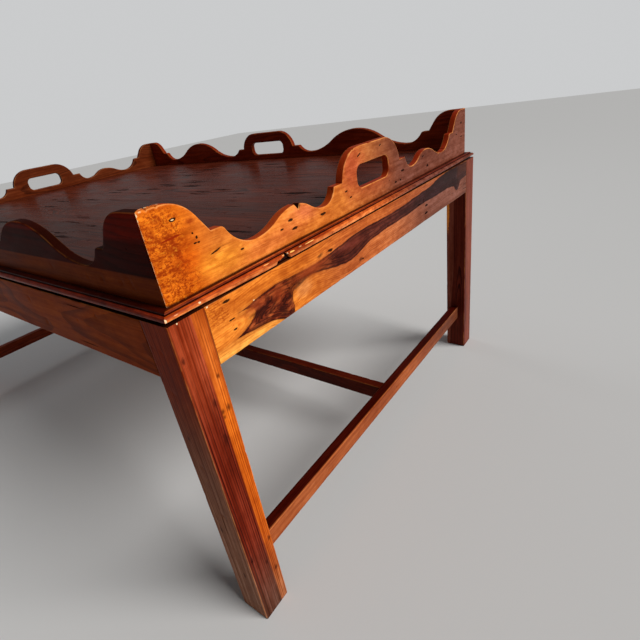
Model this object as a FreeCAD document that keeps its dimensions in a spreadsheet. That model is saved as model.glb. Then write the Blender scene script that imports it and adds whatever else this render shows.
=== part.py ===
import FreeCAD, Part
import math
import os
import Sketcher
from types import SimpleNamespace

# Tray top coffee table: a stand of legs, aprons and stretchers, and on it a tray with a
# scalloped gallery, which lifts off by its hand holes.
# Frame: +X along the table, +Z up, front at -Y, origin on the floor under the table's centre.

# Driving dimensions in millimetres. Heights in the gallery's outline start at its foot, and a
# place is the distance along the board.
SIZES = {
    # stand
    "stand_length": 1148,
    "stand_width": 814,
    "stand_height": 460,
    "leg_width": 44,
    "leg_arris": 1,
    "foot_chamfer": 2,
    "apron_height": 66,
    "apron_thickness": 22,
    "apron_tenon_thickness": 8,
    "apron_shoulder": 9,
    "stretcher_height": 29,
    "stretcher_thickness": 18,
    "stretcher_top": 111,
    "stretcher_inset": 16,
    "stretcher_tenon_thickness": 8,
    "stretcher_tenon_length": 24,
    "stretcher_shoulder": 4,
    "centre_tenon_length": 12,
    "block_reach": 58,
    "block_height": 30,
    "block_drop": 6,
    "block_screw_length": 42,
    "block_screw_width": 5,
    "block_screw_head_width": 10,
    "block_screw_head_height": 4,
    # tray floor, moulding and battens
    "floor_thickness": 24,
    "moulding_width": 14,
    "moulding_height": 11,
    "moulding_flat": 9,
    "moulding_quirk": 2.5,
    "bead_centre_height": 5.5,
    "moulding_round": 1,
    "shadow_gap": 4,
    "batten_width": 70,
    "batten_thickness": 18,
    "batten_clearance": 2,
    "batten_screw_length": 28,
    "batten_screw_width": 4,
    "batten_screw_head_width": 8,
    "batten_screw_head_height": 3,
    # gallery
    "gallery_thickness": 12,
    "crest_height": 88,
    "crest_run": 34,
    "crest_drop": 18,
    "cusp_run": 13,
    "cusp_height": 51,
    "cusp_flat": 12,
    "cusp_round": 6,
    "step_height": 43,
    "step_length": 20,
    "handle_height": 83,
    "handle_shoulder_run": 48,
    "hole_bottom": 26,
    "hole_height": 32,
    "hole_round": 12,
    # gallery of the short ends: cusp, outer dip and hump from the board's end, the rest from its middle
    "end_cusp_place": 72,
    "end_outer_dip_place": 130,
    "end_outer_dip_height": 24,
    "end_hump_place": 202,
    "end_hump_height": 42,
    "end_inner_dip_place": 131,
    "end_inner_dip_height": 24,
    "end_handle_length": 172,
    "end_hole_length": 94,
    # gallery of the long sides, in the same way
    "side_cusp_place": 77,
    "side_outer_dip_place": 128,
    "side_outer_dip_height": 29,
    "side_hump_place": 266,
    "side_hump_height": 71,
    "side_inner_dip_place": 150,
    "side_inner_dip_height": 26,
    "side_handle_length": 189,
    "side_hole_length": 118,
    # how far a cutting shape runs past what it cuts
    "cut_overrun": 5,
}
FLOOR_BOARD_COUNT = 5
SCREW_FACETS = 12

# Each side of the table: the way it faces, and its turn about Z from the front.
SIDES = {
    "front": (0, -1, 0),
    "right": (1, 0, 90),
    "rear": (0, 1, 180),
    "left": (-1, 0, 270),
}
# Each corner: its place along X and Y, its turn about Z, and the sides that meet there.
CORNERS = {
    "front_left": (-1, -1, 0, "front", "left"),
    "front_right": (1, -1, 90, "front", "right"),
    "rear_right": (1, 1, 180, "rear", "right"),
    "rear_left": (-1, 1, 270, "rear", "left"),
}


class Length:
    """A length with its number and the sheet expression that gives it."""

    def __init__(self, number, text):
        self.number = number
        self.text = text

    def __add__(self, other):
        return Length(self.number + other.number, f"({self.text} + {other.text})")

    def __sub__(self, other):
        return Length(self.number - other.number, f"({self.text} - {other.text})")

    def __mul__(self, times):
        return Length(self.number * times, f"({self.text} * {times})")

    def __truediv__(self, parts):
        return Length(self.number / parts, f"({self.text} / {parts})")

    def __neg__(self):
        return self * -1


ZERO = Length(0, "0")

doc = FreeCAD.newDocument("tray_top_coffee_table")
sheet = doc.addObject("Spreadsheet::Sheet", "Sizes")
for row, (alias, number) in enumerate(SIZES.items(), start=1):
    sheet.set(f"A{row}", alias)
    sheet.set(f"B{row}", str(number))
    sheet.setAlias(f"B{row}", alias)
doc.recompute()
size = SimpleNamespace(**{alias: Length(sheet.get(alias), f"Sizes.{alias}") for alias in SIZES})


def own_size(kind, name):
    """A size that the gallery's end boards and side boards each have of their own."""
    return getattr(size, f"{kind}_{name}")


class Outline:
    """A closed outline of lines and arcs. It ends at the corner where it starts."""

    def __init__(self, x, y):
        self.corners = [(x, y)]
        self.edges = []

    def line(self, x, y):
        self.corners.append((x, y))
        self.edges.append(None)

    def arc(self, x, y, level=None, upright=None):
        """An arc to x, y that runs level or upright at its "start" or its "end"."""
        self.corners.append((x, y))
        self.edges.append((level, upright))

    def ogee(self, x, y):
        """Two equal arcs from one level point to another."""
        last_x, last_y = self.corners[-1]
        self.arc((last_x + x) / 2, (last_y + y) / 2, level="start")
        self.arc(x, y, level="end")


def arc_centre(start, end, level, upright):
    """The centre of an arc that runs level or upright at one of its ends."""
    at_start = (level or upright) == "start"
    near, far = (start, end) if at_start else (end, start)
    across, up = far[0] - near[0], far[1] - near[1]
    if level:
        return near[0], near[1] + (across**2 + up**2) / (2 * up)
    return near[0] + (across**2 + up**2) / (2 * across), near[1]


def arc_between(start, end, centre):
    """The shorter arc between two points, and whether it runs forwards from the first."""
    middle = FreeCAD.Vector(*centre, 0)
    angles = [math.atan2(point[1] - centre[1], point[0] - centre[0]) for point in (start, end)]
    circle = Part.Circle(middle, FreeCAD.Vector(0, 0, 1), math.dist(start, centre))
    forwards = (angles[1] - angles[0]) % math.tau < math.pi
    if not forwards:
        angles.reverse()
    return Part.ArcOfCircle(circle, *angles), forwards


def draw_outline(sketch, outline):
    """Draw the outline with every corner held at bound distances from the sketch's origin."""
    corners = outline.corners[:-1]
    points = [(x.number, y.number) for x, y in outline.corners]
    ends = []
    for index, edge in enumerate(outline.edges):
        start, end = points[index], points[index + 1]
        if edge is None:
            sketch.addGeometry(Part.LineSegment(FreeCAD.Vector(*start, 0), FreeCAD.Vector(*end, 0)))
            ends.append((1, 2))
        else:
            curve, forwards = arc_between(start, end, arc_centre(start, end, *edge))
            sketch.addGeometry(curve)
            ends.append((1, 2) if forwards else (2, 1))
    constraints = []
    bound = []
    for index, (x, y) in enumerate(corners):
        first, last = ends[index]
        following = (index + 1) % len(corners)
        constraints.append(Sketcher.Constraint("Coincident", index, last, following, ends[following][0]))
        for kind, axis, length in (("DistanceX", -2, x), ("DistanceY", -1, y)):
            if length is ZERO:
                constraints.append(Sketcher.Constraint("PointOnObject", index, first, axis))
            else:
                bound.append((len(constraints), length))
                constraints.append(Sketcher.Constraint(kind, -1, 1, index, first, length.number))
        if outline.edges[index]:
            level, upright = outline.edges[index]
            at = first if (level or upright) == "start" else last
            constraints.append(Sketcher.Constraint("Vertical" if level else "Horizontal", index, 3, index, at))
    sketch.addConstraint(constraints)
    for index, length in bound:
        sketch.setExpression(f"Constraints[{index}]", length.text)


def polygon(points):
    outline = Outline(*points[0])
    for point in points[1:] + points[:1]:
        outline.line(*point)
    return outline


def bind(item, path, length):
    item.setExpression(path, length.text)


def place(item, x, y, z, turn=0, tilt_axis=(0, 0, 1), tilt=0):
    """Set the object at a bound place, tilted first and then turned about Z."""
    turned = FreeCAD.Rotation(FreeCAD.Vector(0, 0, 1), turn)
    tilted = FreeCAD.Rotation(FreeCAD.Vector(*tilt_axis), tilt)
    item.Placement = FreeCAD.Placement(FreeCAD.Vector(), turned.multiply(tilted))
    for axis, length in zip("xyz", (x, y, z)):
        bind(item, f"Placement.Base.{axis}", length)


def plane(body, role):
    return next(feature for feature in body.Origin.OriginFeatures if feature.Role == role)


def new_body(name):
    body = doc.addObject("PartDesign::Body", name)
    body.Label = name
    return body


def new_sketch(body, name, role, outline, offset=ZERO):
    """A sketch of the outline on one of the body's origin planes, or at an offset from it."""
    sketch = body.newObject("Sketcher::SketchObject", f"{body.Name}_{name}")
    sketch.AttachmentSupport = [(plane(body, role), "")]
    sketch.MapMode = "FlatFace"
    if offset is not ZERO:
        bind(sketch, "AttachmentOffset.Base.z", offset)
    draw_outline(sketch, outline)
    return sketch


def pad(body, sketch, length, reverse=False):
    feature = body.newObject("PartDesign::Pad", f"{sketch.Name}_pad")
    feature.Profile = sketch
    feature.Reversed = reverse
    bind(feature, "Length", length)
    return feature


def pocket_through(body, sketch):
    """Cut the sketch's outline right through the body, both ways."""
    feature = body.newObject("PartDesign::Pocket", f"{sketch.Name}_pocket")
    feature.Profile = sketch
    feature.SideType = "Symmetric"
    feature.Type = "ThroughAll"
    return feature


def mirror(body, features):
    """Mirror the half board's features to make its other half."""
    feature = body.newObject("PartDesign::Mirrored", f"{body.Name}_mirrored")
    feature.Originals = features
    feature.MirrorPlane = (plane(body, "YZ_Plane"), [""])
    body.Tip = feature


def chamfer(body, base, kind, chosen, width):
    """Chamfer the edges, or the edges of the faces, that the test chosen picks from the base."""
    doc.recompute()
    found = base.Shape.Faces if kind == "Face" else base.Shape.Edges
    feature = body.newObject("PartDesign::Chamfer", f"{base.Name}_chamfer")
    feature.Base = (base, [f"{kind}{number}" for number, shape in enumerate(found, start=1) if chosen(shape)])
    bind(feature, "Size", width)
    return feature


def box(name, x, y, z, length, width, height):
    item = doc.addObject("Part::Box", name)
    place(item, x, y, z)
    bind(item, "Length", length)
    bind(item, "Width", width)
    bind(item, "Height", height)
    return item


def cut(base, tools, name):
    """Cut each tool in turn from the base. The last cut is the piece."""
    for number, tool in enumerate(tools, start=1):
        item = doc.addObject("Part::Cut", f"{name}_cut_{number}")
        item.Base = base
        item.Tool = tool
        item.Label = f"{name}_cut_{number}"
        base = item
    base.Label = name
    return base


def compound(parts, name):
    item = doc.addObject("Part::Compound", name)
    item.Links = parts
    item.Label = name
    return item


def screw(name, length, width, head_width, head_height):
    """A pan-head wood screw, faceted. Its head's face is at its origin, and it points along +Z."""
    shapes = []
    for part, across, start, end in (
        ("head", head_width, ZERO, head_height),
        ("shank", width, head_height, length),
    ):
        prism = doc.addObject("Part::Prism", f"{name}_{part}")
        prism.Polygon = SCREW_FACETS
        bind(prism, "Circumradius", across / 2)
        bind(prism, "Height", end - start)
        place(prism, ZERO, ZERO, start)
        shapes.append(prism)
    item = doc.addObject("Part::MultiFuse", name)
    item.Shapes = shapes
    return item


def on_side(item, side, reach, height):
    """Place a board modelled with its outer face at local Y = 0 on its side of the table."""
    x_share, y_share, turn = SIDES[side]
    place(item, reach * x_share, reach * y_share, height, turn)


def side_length(side):
    return size.stand_length if side in ("front", "rear") else size.stand_width


def side_reach(side):
    """How far the side's outer face is from the table's middle."""
    return size.stand_width / 2 if side in ("front", "rear") else size.stand_length / 2


def tenoned_rail(name, length, thickness, height, tenon_outer, tenon_inner, tenon_thickness, shoulder):
    """A rail along X with a tenon at each end. Its outer face is at Y = 0 and its foot at Z = 0.

    length is measured between the tenons' shoulders. tenon_outer and tenon_inner are how far
    from the middle the tenons' outer and inner faces reach, so a mitred tenon has two reaches.
    """
    body = new_body(name)
    end = length / 2
    face = polygon([(-end, ZERO), (end, ZERO), (end, height), (-end, height)])
    pad(body, new_sketch(body, "face", "XZ_Plane", face), thickness, reverse=True)
    outer = (thickness - tenon_thickness) / 2
    inner = (thickness + tenon_thickness) / 2
    plan = polygon([(-tenon_outer, outer), (tenon_outer, outer), (tenon_inner, inner), (-tenon_inner, inner)])
    tenon_plan = new_sketch(body, "tenons", "XY_Plane", plan, shoulder)
    pad(body, tenon_plan, height - shoulder * 2)
    return body


def apron(side):
    """An apron flush with the legs. Its tenons are mitred where they meet inside the leg."""
    outer = (size.apron_thickness - size.apron_tenon_thickness) / 2
    inner = (size.apron_thickness + size.apron_tenon_thickness) / 2
    corner = side_length(side) / 2
    body = tenoned_rail(
        f"apron_{side}",
        side_length(side) - size.leg_width * 2,
        size.apron_thickness,
        size.apron_height,
        corner - outer,
        corner - inner,
        size.apron_tenon_thickness,
        size.apron_shoulder,
    )
    on_side(body, side, side_reach(side), size.stand_height - size.apron_height)
    return body


def end_stretcher(side):
    """A low stretcher between the two legs of one end, set in from their outer faces."""
    shoulder_length = side_length(side) - size.leg_width * 2
    reach = shoulder_length / 2 + size.stretcher_tenon_length
    body = tenoned_rail(
        f"stretcher_{side}_rail",
        shoulder_length,
        size.stretcher_thickness,
        size.stretcher_height,
        reach,
        reach,
        size.stretcher_tenon_thickness,
        size.stretcher_shoulder,
    )
    on_side(body, side, side_reach(side) - size.stretcher_inset, size.stretcher_top - size.stretcher_height)
    return body


def centre_stretcher():
    """The long bar that joins the middles of the two end stretchers."""
    set_in = size.stretcher_inset + size.stretcher_thickness
    shoulder_length = size.stand_length - set_in * 2
    reach = shoulder_length / 2 + size.centre_tenon_length
    body = tenoned_rail(
        "stretcher_centre",
        shoulder_length,
        size.stretcher_thickness,
        size.stretcher_height,
        reach,
        reach,
        size.stretcher_tenon_thickness,
        size.stretcher_shoulder,
    )
    place(body, ZERO, -size.stretcher_thickness / 2, size.stretcher_top - size.stretcher_height)
    return body


def leg_post(corner):
    """A square post with a chamfered foot and eased arrises, before its mortises."""
    body = new_body(f"leg_{corner}_post")
    edge = size.leg_width / 2
    section = polygon([(-edge, -edge), (edge, -edge), (edge, edge), (-edge, edge)])
    post = pad(body, new_sketch(body, "section", "XY_Plane", section), size.stand_height)
    foot = chamfer(body, post, "Face", lambda face: face.BoundBox.ZMax < size.foot_chamfer.number, size.foot_chamfer)
    chamfer(body, foot, "Edge", lambda side: side.BoundBox.ZLength > size.leg_width.number, size.leg_arris)
    x_share, y_share = CORNERS[corner][:2]
    x = size.stand_length / 2 - edge
    y = size.stand_width / 2 - edge
    place(body, x * x_share, y * y_share, ZERO)
    return body


def at_inner_corner(item, corner):
    """Place what is modelled from the leg's inner corner, its own leg being towards -X and -Y."""
    x_share, y_share, turn = CORNERS[corner][:3]
    x = size.stand_length / 2 - size.leg_width
    y = size.stand_width / 2 - size.leg_width
    place(item, x * x_share, y * y_share, ZERO, turn)


def block_top():
    """The corner blocks' top, which clears the battens that drop inside the stand."""
    return size.stand_height - size.batten_thickness - size.block_drop


def corner_block(corner):
    """A triangular block, notched round the leg and glued to both aprons."""
    body = new_body(f"corner_block_{corner}_blank")
    behind_leg = size.leg_width - size.apron_thickness
    plan = polygon([
        (ZERO, ZERO), (ZERO, -behind_leg), (size.block_reach, -behind_leg),
        (-behind_leg, size.block_reach), (-behind_leg, ZERO),
    ])
    sketch = new_sketch(body, "plan", "XY_Plane", plan, block_top() - size.block_height)
    pad(body, sketch, size.block_height)
    at_inner_corner(body, corner)
    return body


def block_screw(corner):
    """The screw through the middle of the block's long face into the leg."""
    behind_leg = size.leg_width - size.apron_thickness
    head = (size.block_reach - behind_leg) / 2
    item = screw(
        f"block_screw_{corner}",
        size.block_screw_length,
        size.block_screw_width,
        size.block_screw_head_width,
        size.block_screw_head_height,
    )
    place(item, head, head, block_top() - size.block_height / 2, 45, (0, 1, 0), -90)
    holder = compound([item], f"block_screw_{corner}_in_place")
    at_inner_corner(holder, corner)
    return holder


def floor_panel():
    """The tray's floor before it is sawn into boards, with the rebate that takes the gallery."""
    lip_x = size.stand_length / 2 - size.moulding_width
    lip_y = size.stand_width / 2 - size.moulding_width
    top_x = lip_x - size.gallery_thickness
    top_y = lip_y - size.gallery_thickness
    lip = box("floor_lip", -lip_x, -lip_y, size.stand_height, lip_x * 2, lip_y * 2, size.moulding_height)
    top = box("floor_top", -top_x, -top_y, size.stand_height, top_x * 2, top_y * 2, size.floor_thickness)
    panel = doc.addObject("Part::MultiFuse", "floor_panel")
    panel.Shapes = [lip, top]
    return panel


def floor_board(number, panel, screws):
    """One of the edge-glued boards that run along the tray, from the front to the rear."""
    width = (size.stand_width - size.moulding_width * 2) / FLOOR_BOARD_COUNT
    start = width * number - size.stand_width / 2 + size.moulding_width
    strip = box(
        f"floor_strip_{number + 1}",
        -size.stand_length / 2,
        start,
        size.stand_height,
        size.stand_length,
        width,
        size.floor_thickness,
    )
    board = doc.addObject("Part::Common", f"floor_board_{number + 1}_blank")
    board.Base = panel
    board.Tool = strip
    return cut(board, screws, f"floor_board_{number + 1}")


def batten_places():
    """The X of each batten's middle. The outer two drop just inside the legs."""
    reach = size.stand_length / 2 - size.leg_width - size.batten_clearance - size.batten_width / 2
    return {"left": -reach, "centre": ZERO, "right": reach}


def batten(name, x):
    length = size.stand_width - size.apron_thickness * 2 - size.batten_clearance * 2
    return box(
        f"batten_{name}_blank",
        x - size.batten_width / 2,
        -length / 2,
        size.stand_height - size.batten_thickness,
        size.batten_width,
        length,
        size.batten_thickness,
    )


def batten_screw(name, x, number):
    """The screw that holds one floor board to one batten, from below."""
    width = (size.stand_width - size.moulding_width * 2) / FLOOR_BOARD_COUNT
    y = width * (number - (FLOOR_BOARD_COUNT - 1) / 2)
    item = screw(
        f"batten_screw_{name}_{number + 1}",
        size.batten_screw_length,
        size.batten_screw_width,
        size.batten_screw_head_width,
        size.batten_screw_head_height,
    )
    place(item, x, y, size.stand_height - size.batten_thickness)
    return item


def mitre_sketch(body, half_length, depth):
    """The wedge to cut from the board's end, so that two boards meet at 45 degrees."""
    past = size.cut_overrun
    wedge = polygon([
        (half_length + past, -past),
        (half_length + past, depth + past),
        (half_length - depth - past, depth + past),
    ])
    return new_sketch(body, "mitre", "XY_Plane", wedge)


def gallery_outline(half_length, kind):
    """Half of a gallery board's outline, from its middle out to its end and back along its top."""
    end = half_length
    cusp_x = end - own_size(kind, "cusp_place")
    crest_foot_x = cusp_x + size.cusp_run
    flat_x = cusp_x - size.cusp_flat
    handle_side = own_size(kind, "handle_length") / 2
    outline = Outline(ZERO, ZERO)
    outline.line(end, ZERO)
    outline.line(end, size.crest_height)
    outline.line(crest_foot_x + size.crest_run, size.crest_height)
    outline.arc(crest_foot_x, size.crest_height - size.crest_drop, level="start")
    outline.line(cusp_x, size.cusp_height)
    outline.line(flat_x, size.cusp_height)
    outline.arc(flat_x - size.cusp_round, size.cusp_height - size.cusp_round / 2, level="start")
    outline.arc(end - own_size(kind, "outer_dip_place"), own_size(kind, "outer_dip_height"), level="end")
    outline.ogee(end - own_size(kind, "hump_place"), own_size(kind, "hump_height"))
    outline.ogee(own_size(kind, "inner_dip_place"), own_size(kind, "inner_dip_height"))
    outline.arc(handle_side + size.step_length, size.step_height, level="start")
    outline.line(handle_side, size.step_height)
    outline.arc(handle_side - size.handle_shoulder_run, size.handle_height, level="end")
    outline.line(ZERO, size.handle_height)
    outline.line(ZERO, ZERO)
    return outline


def hand_hole(length):
    """A round-cornered hole for the fingers, centred on the board's middle."""
    side, low, high = length / 2, size.hole_bottom, size.hole_bottom + size.hole_height
    curve = size.hole_round
    outline = Outline(curve - side, low)
    outline.line(side - curve, low)
    outline.arc(side, low + curve, level="start")
    outline.line(side, high - curve)
    outline.arc(side - curve, high, level="end")
    outline.line(curve - side, high)
    outline.arc(-side, high - curve, level="start")
    outline.line(-side, low + curve)
    outline.arc(curve - side, low, level="end")
    return outline


def gallery_board(side):
    """A scalloped board of the gallery, with a hand hole in its raised middle and mitred ends."""
    body = new_body(f"gallery_{side}")
    kind = "side" if side in ("front", "rear") else "end"
    half_length = side_length(side) / 2 - size.moulding_width
    outline = gallery_outline(half_length, kind)
    board = pad(body, new_sketch(body, "outline", "XZ_Plane", outline), size.gallery_thickness, reverse=True)
    mitre = pocket_through(body, mitre_sketch(body, half_length, size.gallery_thickness))
    mirror(body, [board, mitre])
    hole = hand_hole(own_size(kind, "hole_length"))
    pocket_through(body, new_sketch(body, "hole", "XZ_Plane", hole))
    on_side(body, side, side_reach(side) - size.moulding_width, size.stand_height + size.moulding_height)
    return body


def moulding_profile():
    """The moulding's section: a flat, a quirk and a bead that rolls over to its outer face."""
    inner = size.moulding_width
    quirk = inner - size.moulding_flat
    outline = Outline(inner, size.shadow_gap)
    outline.line(inner, size.moulding_height)
    outline.line(quirk, size.moulding_height)
    outline.line(quirk, size.moulding_height - size.moulding_quirk)
    outline.arc(ZERO, size.bead_centre_height, upright="end")
    outline.line(ZERO, size.shadow_gap + size.moulding_round)
    outline.arc(size.moulding_round, size.shadow_gap, upright="start")
    outline.line(inner, size.shadow_gap)
    return outline


def moulding(side):
    """A strip glued to the edge of the tray's floor, its outer face flush with the legs."""
    body = new_body(f"moulding_{side}")
    half_length = side_length(side) / 2
    strip = pad(body, new_sketch(body, "profile", "YZ_Plane", moulding_profile()), half_length)
    mitre = pocket_through(body, mitre_sketch(body, half_length, size.moulding_width))
    mirror(body, [strip, mitre])
    on_side(body, side, side_reach(side), size.stand_height)
    return body


def build_stand():
    aprons = {side: apron(side) for side in SIDES}
    centre = centre_stretcher()
    rails = {side: end_stretcher(side) for side in ("left", "right")}
    pieces = list(aprons.values()) + [centre]
    pieces += [cut(rail, [centre], f"stretcher_{side}") for side, rail in rails.items()]
    screws = []
    for corner, (_, _, _, long_side, short_side) in CORNERS.items():
        fixing = block_screw(corner)
        entering = [aprons[long_side], aprons[short_side], rails[short_side], fixing]
        pieces.append(cut(leg_post(corner), entering, f"leg_{corner}"))
        pieces.append(cut(corner_block(corner), [fixing], f"corner_block_{corner}"))
        screws.append(fixing)
    return pieces + [compound(screws, "corner_block_screws")]


def build_tray():
    pieces = []
    panel = floor_panel()
    places = batten_places()
    screws = {
        (name, number): batten_screw(name, x, number)
        for name, x in places.items()
        for number in range(FLOOR_BOARD_COUNT)
    }
    for number in range(FLOOR_BOARD_COUNT):
        pieces.append(floor_board(number, panel, [screws[name, number] for name in places]))
    for name, x in places.items():
        entering = [screws[name, number] for number in range(FLOOR_BOARD_COUNT)]
        pieces.append(cut(batten(name, x), entering, f"batten_{name}"))
    pieces.append(compound(list(screws.values()), "batten_screws"))
    for side in SIDES:
        pieces.append(moulding(side))
        pieces.append(gallery_board(side))
    return pieces


pieces = build_stand() + build_tray()
doc.recompute()

for item in doc.Objects:
    if "Invalid" in item.State or "Error" in item.State:
        raise RuntimeError(f"{item.Label} failed: {item.State}")
for item in pieces:
    if item.Shape.isNull() or not item.Shape.isValid() or not item.Shape.Solids:
        raise RuntimeError(f"{item.Label} has no valid solid")

os.makedirs("parts", exist_ok=True)
for item in pieces:
    solids = item.Shape.Solids
    shape = solids[0] if len(solids) == 1 else Part.makeCompound(solids)
    shape.exportStep(os.path.join("parts", f"{item.Label}.step"))
    print(item.Label, len(solids), round(item.Shape.Volume))
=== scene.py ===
import math
import random
from types import SimpleNamespace

import bpy
import numpy as np
from mathutils import Matrix, Vector, geometry, noise


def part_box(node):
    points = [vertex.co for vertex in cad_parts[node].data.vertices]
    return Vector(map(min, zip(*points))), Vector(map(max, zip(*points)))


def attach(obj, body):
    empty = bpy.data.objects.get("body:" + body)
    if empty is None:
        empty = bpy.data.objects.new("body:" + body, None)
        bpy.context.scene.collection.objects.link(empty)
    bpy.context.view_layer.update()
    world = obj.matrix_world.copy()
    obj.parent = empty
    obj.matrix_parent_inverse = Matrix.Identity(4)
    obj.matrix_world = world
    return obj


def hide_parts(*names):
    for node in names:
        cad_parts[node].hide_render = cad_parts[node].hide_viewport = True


# Tray top coffee table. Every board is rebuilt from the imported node's own outline, with worn
# arrises, dents and a procedural log of pine that it is cut from.
# A board's local axes: u along its grain, v across it, w out of its outer face, which is at w = 0.

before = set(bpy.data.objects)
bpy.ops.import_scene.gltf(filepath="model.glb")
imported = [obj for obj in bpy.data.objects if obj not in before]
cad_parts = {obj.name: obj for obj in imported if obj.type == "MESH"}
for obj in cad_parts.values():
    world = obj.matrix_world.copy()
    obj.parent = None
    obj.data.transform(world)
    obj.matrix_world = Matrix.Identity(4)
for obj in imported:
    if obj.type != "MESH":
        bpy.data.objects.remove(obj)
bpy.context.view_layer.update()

UP = Vector((0, 0, 1))
SIDES = {
    "front": Vector((0, -1, 0)),
    "right": Vector((1, 0, 0)),
    "rear": Vector((0, 1, 0)),
    "left": Vector((-1, 0, 0)),
}
CORNERS = {
    "front_left": (-1, -1),
    "front_right": (1, -1),
    "rear_right": (1, 1),
    "rear_left": (-1, 1),
}

# Sizes of the wear and of the meshes, in metres
CELL = 0.006
QUIET_RIM = 0.0025
LEG_ARRIS = 0.0012
FOOT_ARRIS = 0.002
RAIL_ARRIS = 0.0010
BUTT_ARRIS = 0.0003
GALLERY_ARRIS = 0.0016
MITRE_ARRIS = 0.0022
SEAM_ARRIS = 0.0003
HIDDEN_ARRIS = 0.0008
UNDULATION = 0.00015
# How far the ambient occlusion reaches when it paints shade into crevices
CREVICE_SHADE_REACH = 0.004
SCREW_HOLE_RADIUS = 0.0043
LEAST_GAP = 0.0006
FLOOR_CELL = 0.008
COARSE_CELL = 0.012
MITRE_REACH = MITRE_ARRIS * 1.6
WORN_MITRE = 0.0025
PROFILE_STEP = 0.0008
# A worn arris as three rings of points: the sine and cosine of each one's turn, and its share of wear
ARRIS_ROUND = [
    (math.sin(math.radians(turn)), math.cos(math.radians(turn)), share)
    for turn, share in ((0, 0.5), (45, 1.0), (90, 0.5))
]

# Chips broken out of a gallery's upper edge: u, half width, depth
CHIPS = {"gallery_right": [(-0.187, 0.0048, 0.0062), (-0.383, 0.0020, 0.0012), (-0.372, 0.0016, 0.0010)]}

# The chip in the right moulding's bead: u, and the height up to which it is broken
CHIP_RIM = [
    (-0.2560, -0.0010), (-0.2525, 0.0020), (-0.2420, 0.0031), (-0.2395, 0.0034), (-0.2370, 0.0056),
    (-0.2345, 0.0056), (-0.2300, 0.0012), (-0.2280, -0.0010),
]
CHIP_DEPTH = 0.0046

# How far each moulding hangs into the shadow gap, from one end, -1, to the other, 1
SAGS = {
    "front": [(-1, 0.0010), (0, 0.0014), (1, 0.0)],
    "right": [
        (-1, 0.0), (-0.88, 0.0004), (-0.8, 0.0014), (-0.68, 0.0025), (-0.3, 0.0026), (0.4, 0.0014),
        (0.7, 0.0006), (1, 0.0),
    ],
    "rear": [(-1, 0.0), (0, 0.0014), (1, 0.0012)],
    "left": [(-1, 0.0012), (0, 0.0016), (1, 0.0010)],
}

# The spans that the curves of a material are drawn in
CURVE_X = (-0.4, 0.4)
CURVE_Y = (-0.02, 0.11)

# The world's light, and how bright it is where it is seen
WORLD_LIGHT = 0.13
WORLD_SHOWN = 0.66
WORLD_MIRRORED = 0.16
GROUND_REACH = 9

# The photograph's camera
CAMERA_PLACE = (0.9002, -0.5866, 0.6224)
CAMERA_LOOK = (129.807, -27.157, 8.989)
CAMERA_LENS = 24.274

# The lamp on the left
LAMP_PLACE = Vector((-2.2, 0.6, 1.8))
LAMP_TARGET = Vector((0, 0, 0.3))


def low(node):
    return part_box(node)[0]


def high(node):
    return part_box(node)[1]


# Outlines

def board_matrix(u, w, origin):
    """The matrix of a board with its grain along u and its outer face towards w."""
    made = Matrix.Identity(4)
    for column, axis in enumerate((u, w.cross(u), w, origin)):
        for row in range(3):
            made[row][column] = axis[row]
    return made


def side_matrix(facing, reach, height):
    """The matrix of a board on one side of the table: u along it, v up, w outwards."""
    return board_matrix(UP.cross(facing), facing, facing * reach + UP * height)


def rectangle(u0, v0, u1, v1):
    return np.array([(u0, v0), (u1, v0), (u1, v1), (u0, v1)], float)


def node_outlines(node, matrix, facing, axes=(0, 1)):
    """Closed outlines of the node's flat faces that look along facing, in two of the board's axes.

    Seen from outside, the outer one runs anticlockwise and holes run clockwise. The longest is first.
    """
    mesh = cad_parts[node].data
    points = np.round([tuple(v.co) for v in mesh.vertices], 6)
    unique, number = np.unique(points, axis=0, return_inverse=True)
    number = number.reshape(-1)
    directed = set()
    for polygon in mesh.polygons:
        if polygon.normal.dot(facing) > 0.999:
            corners = [int(number[k]) for k in polygon.vertices]
            directed.update(zip(corners, corners[1:] + corners[:1]))
    following = {a: b for a, b in directed if (b, a) not in directed}
    inverse = matrix.inverted()
    outlines = []
    while following:
        start, current = following.popitem()
        chain = [start]
        while current != start:
            chain.append(current)
            current = following.pop(current)
        local = [inverse @ Vector(unique[k]) for k in chain]
        outlines.append(straightened(np.array([(p[axes[0]], p[axes[1]]) for p in local])))
    return sorted(outlines, key=lambda o: -np.ptp(o, axis=0).sum())


def straightened(points):
    """The outline without the points that lie on a straight run."""
    before, after = np.roll(points, 1, 0), np.roll(points, -1, 0)
    first, second = points - before, after - points
    bend = first[:, 0] * second[:, 1] - first[:, 1] * second[:, 0]
    scale = np.linalg.norm(first, axis=1) * np.linalg.norm(second, axis=1)
    return points[np.abs(bend) > 1e-3 * scale]


def crossing(outline, u):
    """The highest point of the outline at u, and the number of the side that it is on."""
    found = (0, np.array((u, -np.inf)))
    for k, (start, end) in enumerate(zip(outline, np.roll(outline, -1, 0))):
        if (start[0] - u) * (end[0] - u) < 0:
            point = start + (end - start) * (u - start[0]) / (end[0] - start[0])
            if point[1] > found[1][1]:
                found = (k, point)
    return found


def chipped(outline, chips):
    """The outline with chips broken out of its upper edge. A chip is (u, half width, depth)."""
    for middle, half, depth in chips:
        first, near = crossing(outline, middle + half)
        last, far = crossing(outline, middle - half)
        deepest = (near + far) / 2 + (half * 0.3, -depth)
        outline = np.concatenate([outline[:first + 1], [near, deepest, far], outline[last + 1:]])
    return outline


def divided(points, widths, step):
    """The outline with its sides divided, and each new side's arris width."""
    made, made_widths = [], []
    for start, end, width in zip(points, np.roll(points, -1, 0), widths):
        count = max(1, math.ceil(np.linalg.norm(end - start) / step - 1e-6))
        for part in range(count):
            made.append(start + (end - start) * part / count)
            made_widths.append(width)
    return np.array(made), np.array(made_widths)


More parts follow.
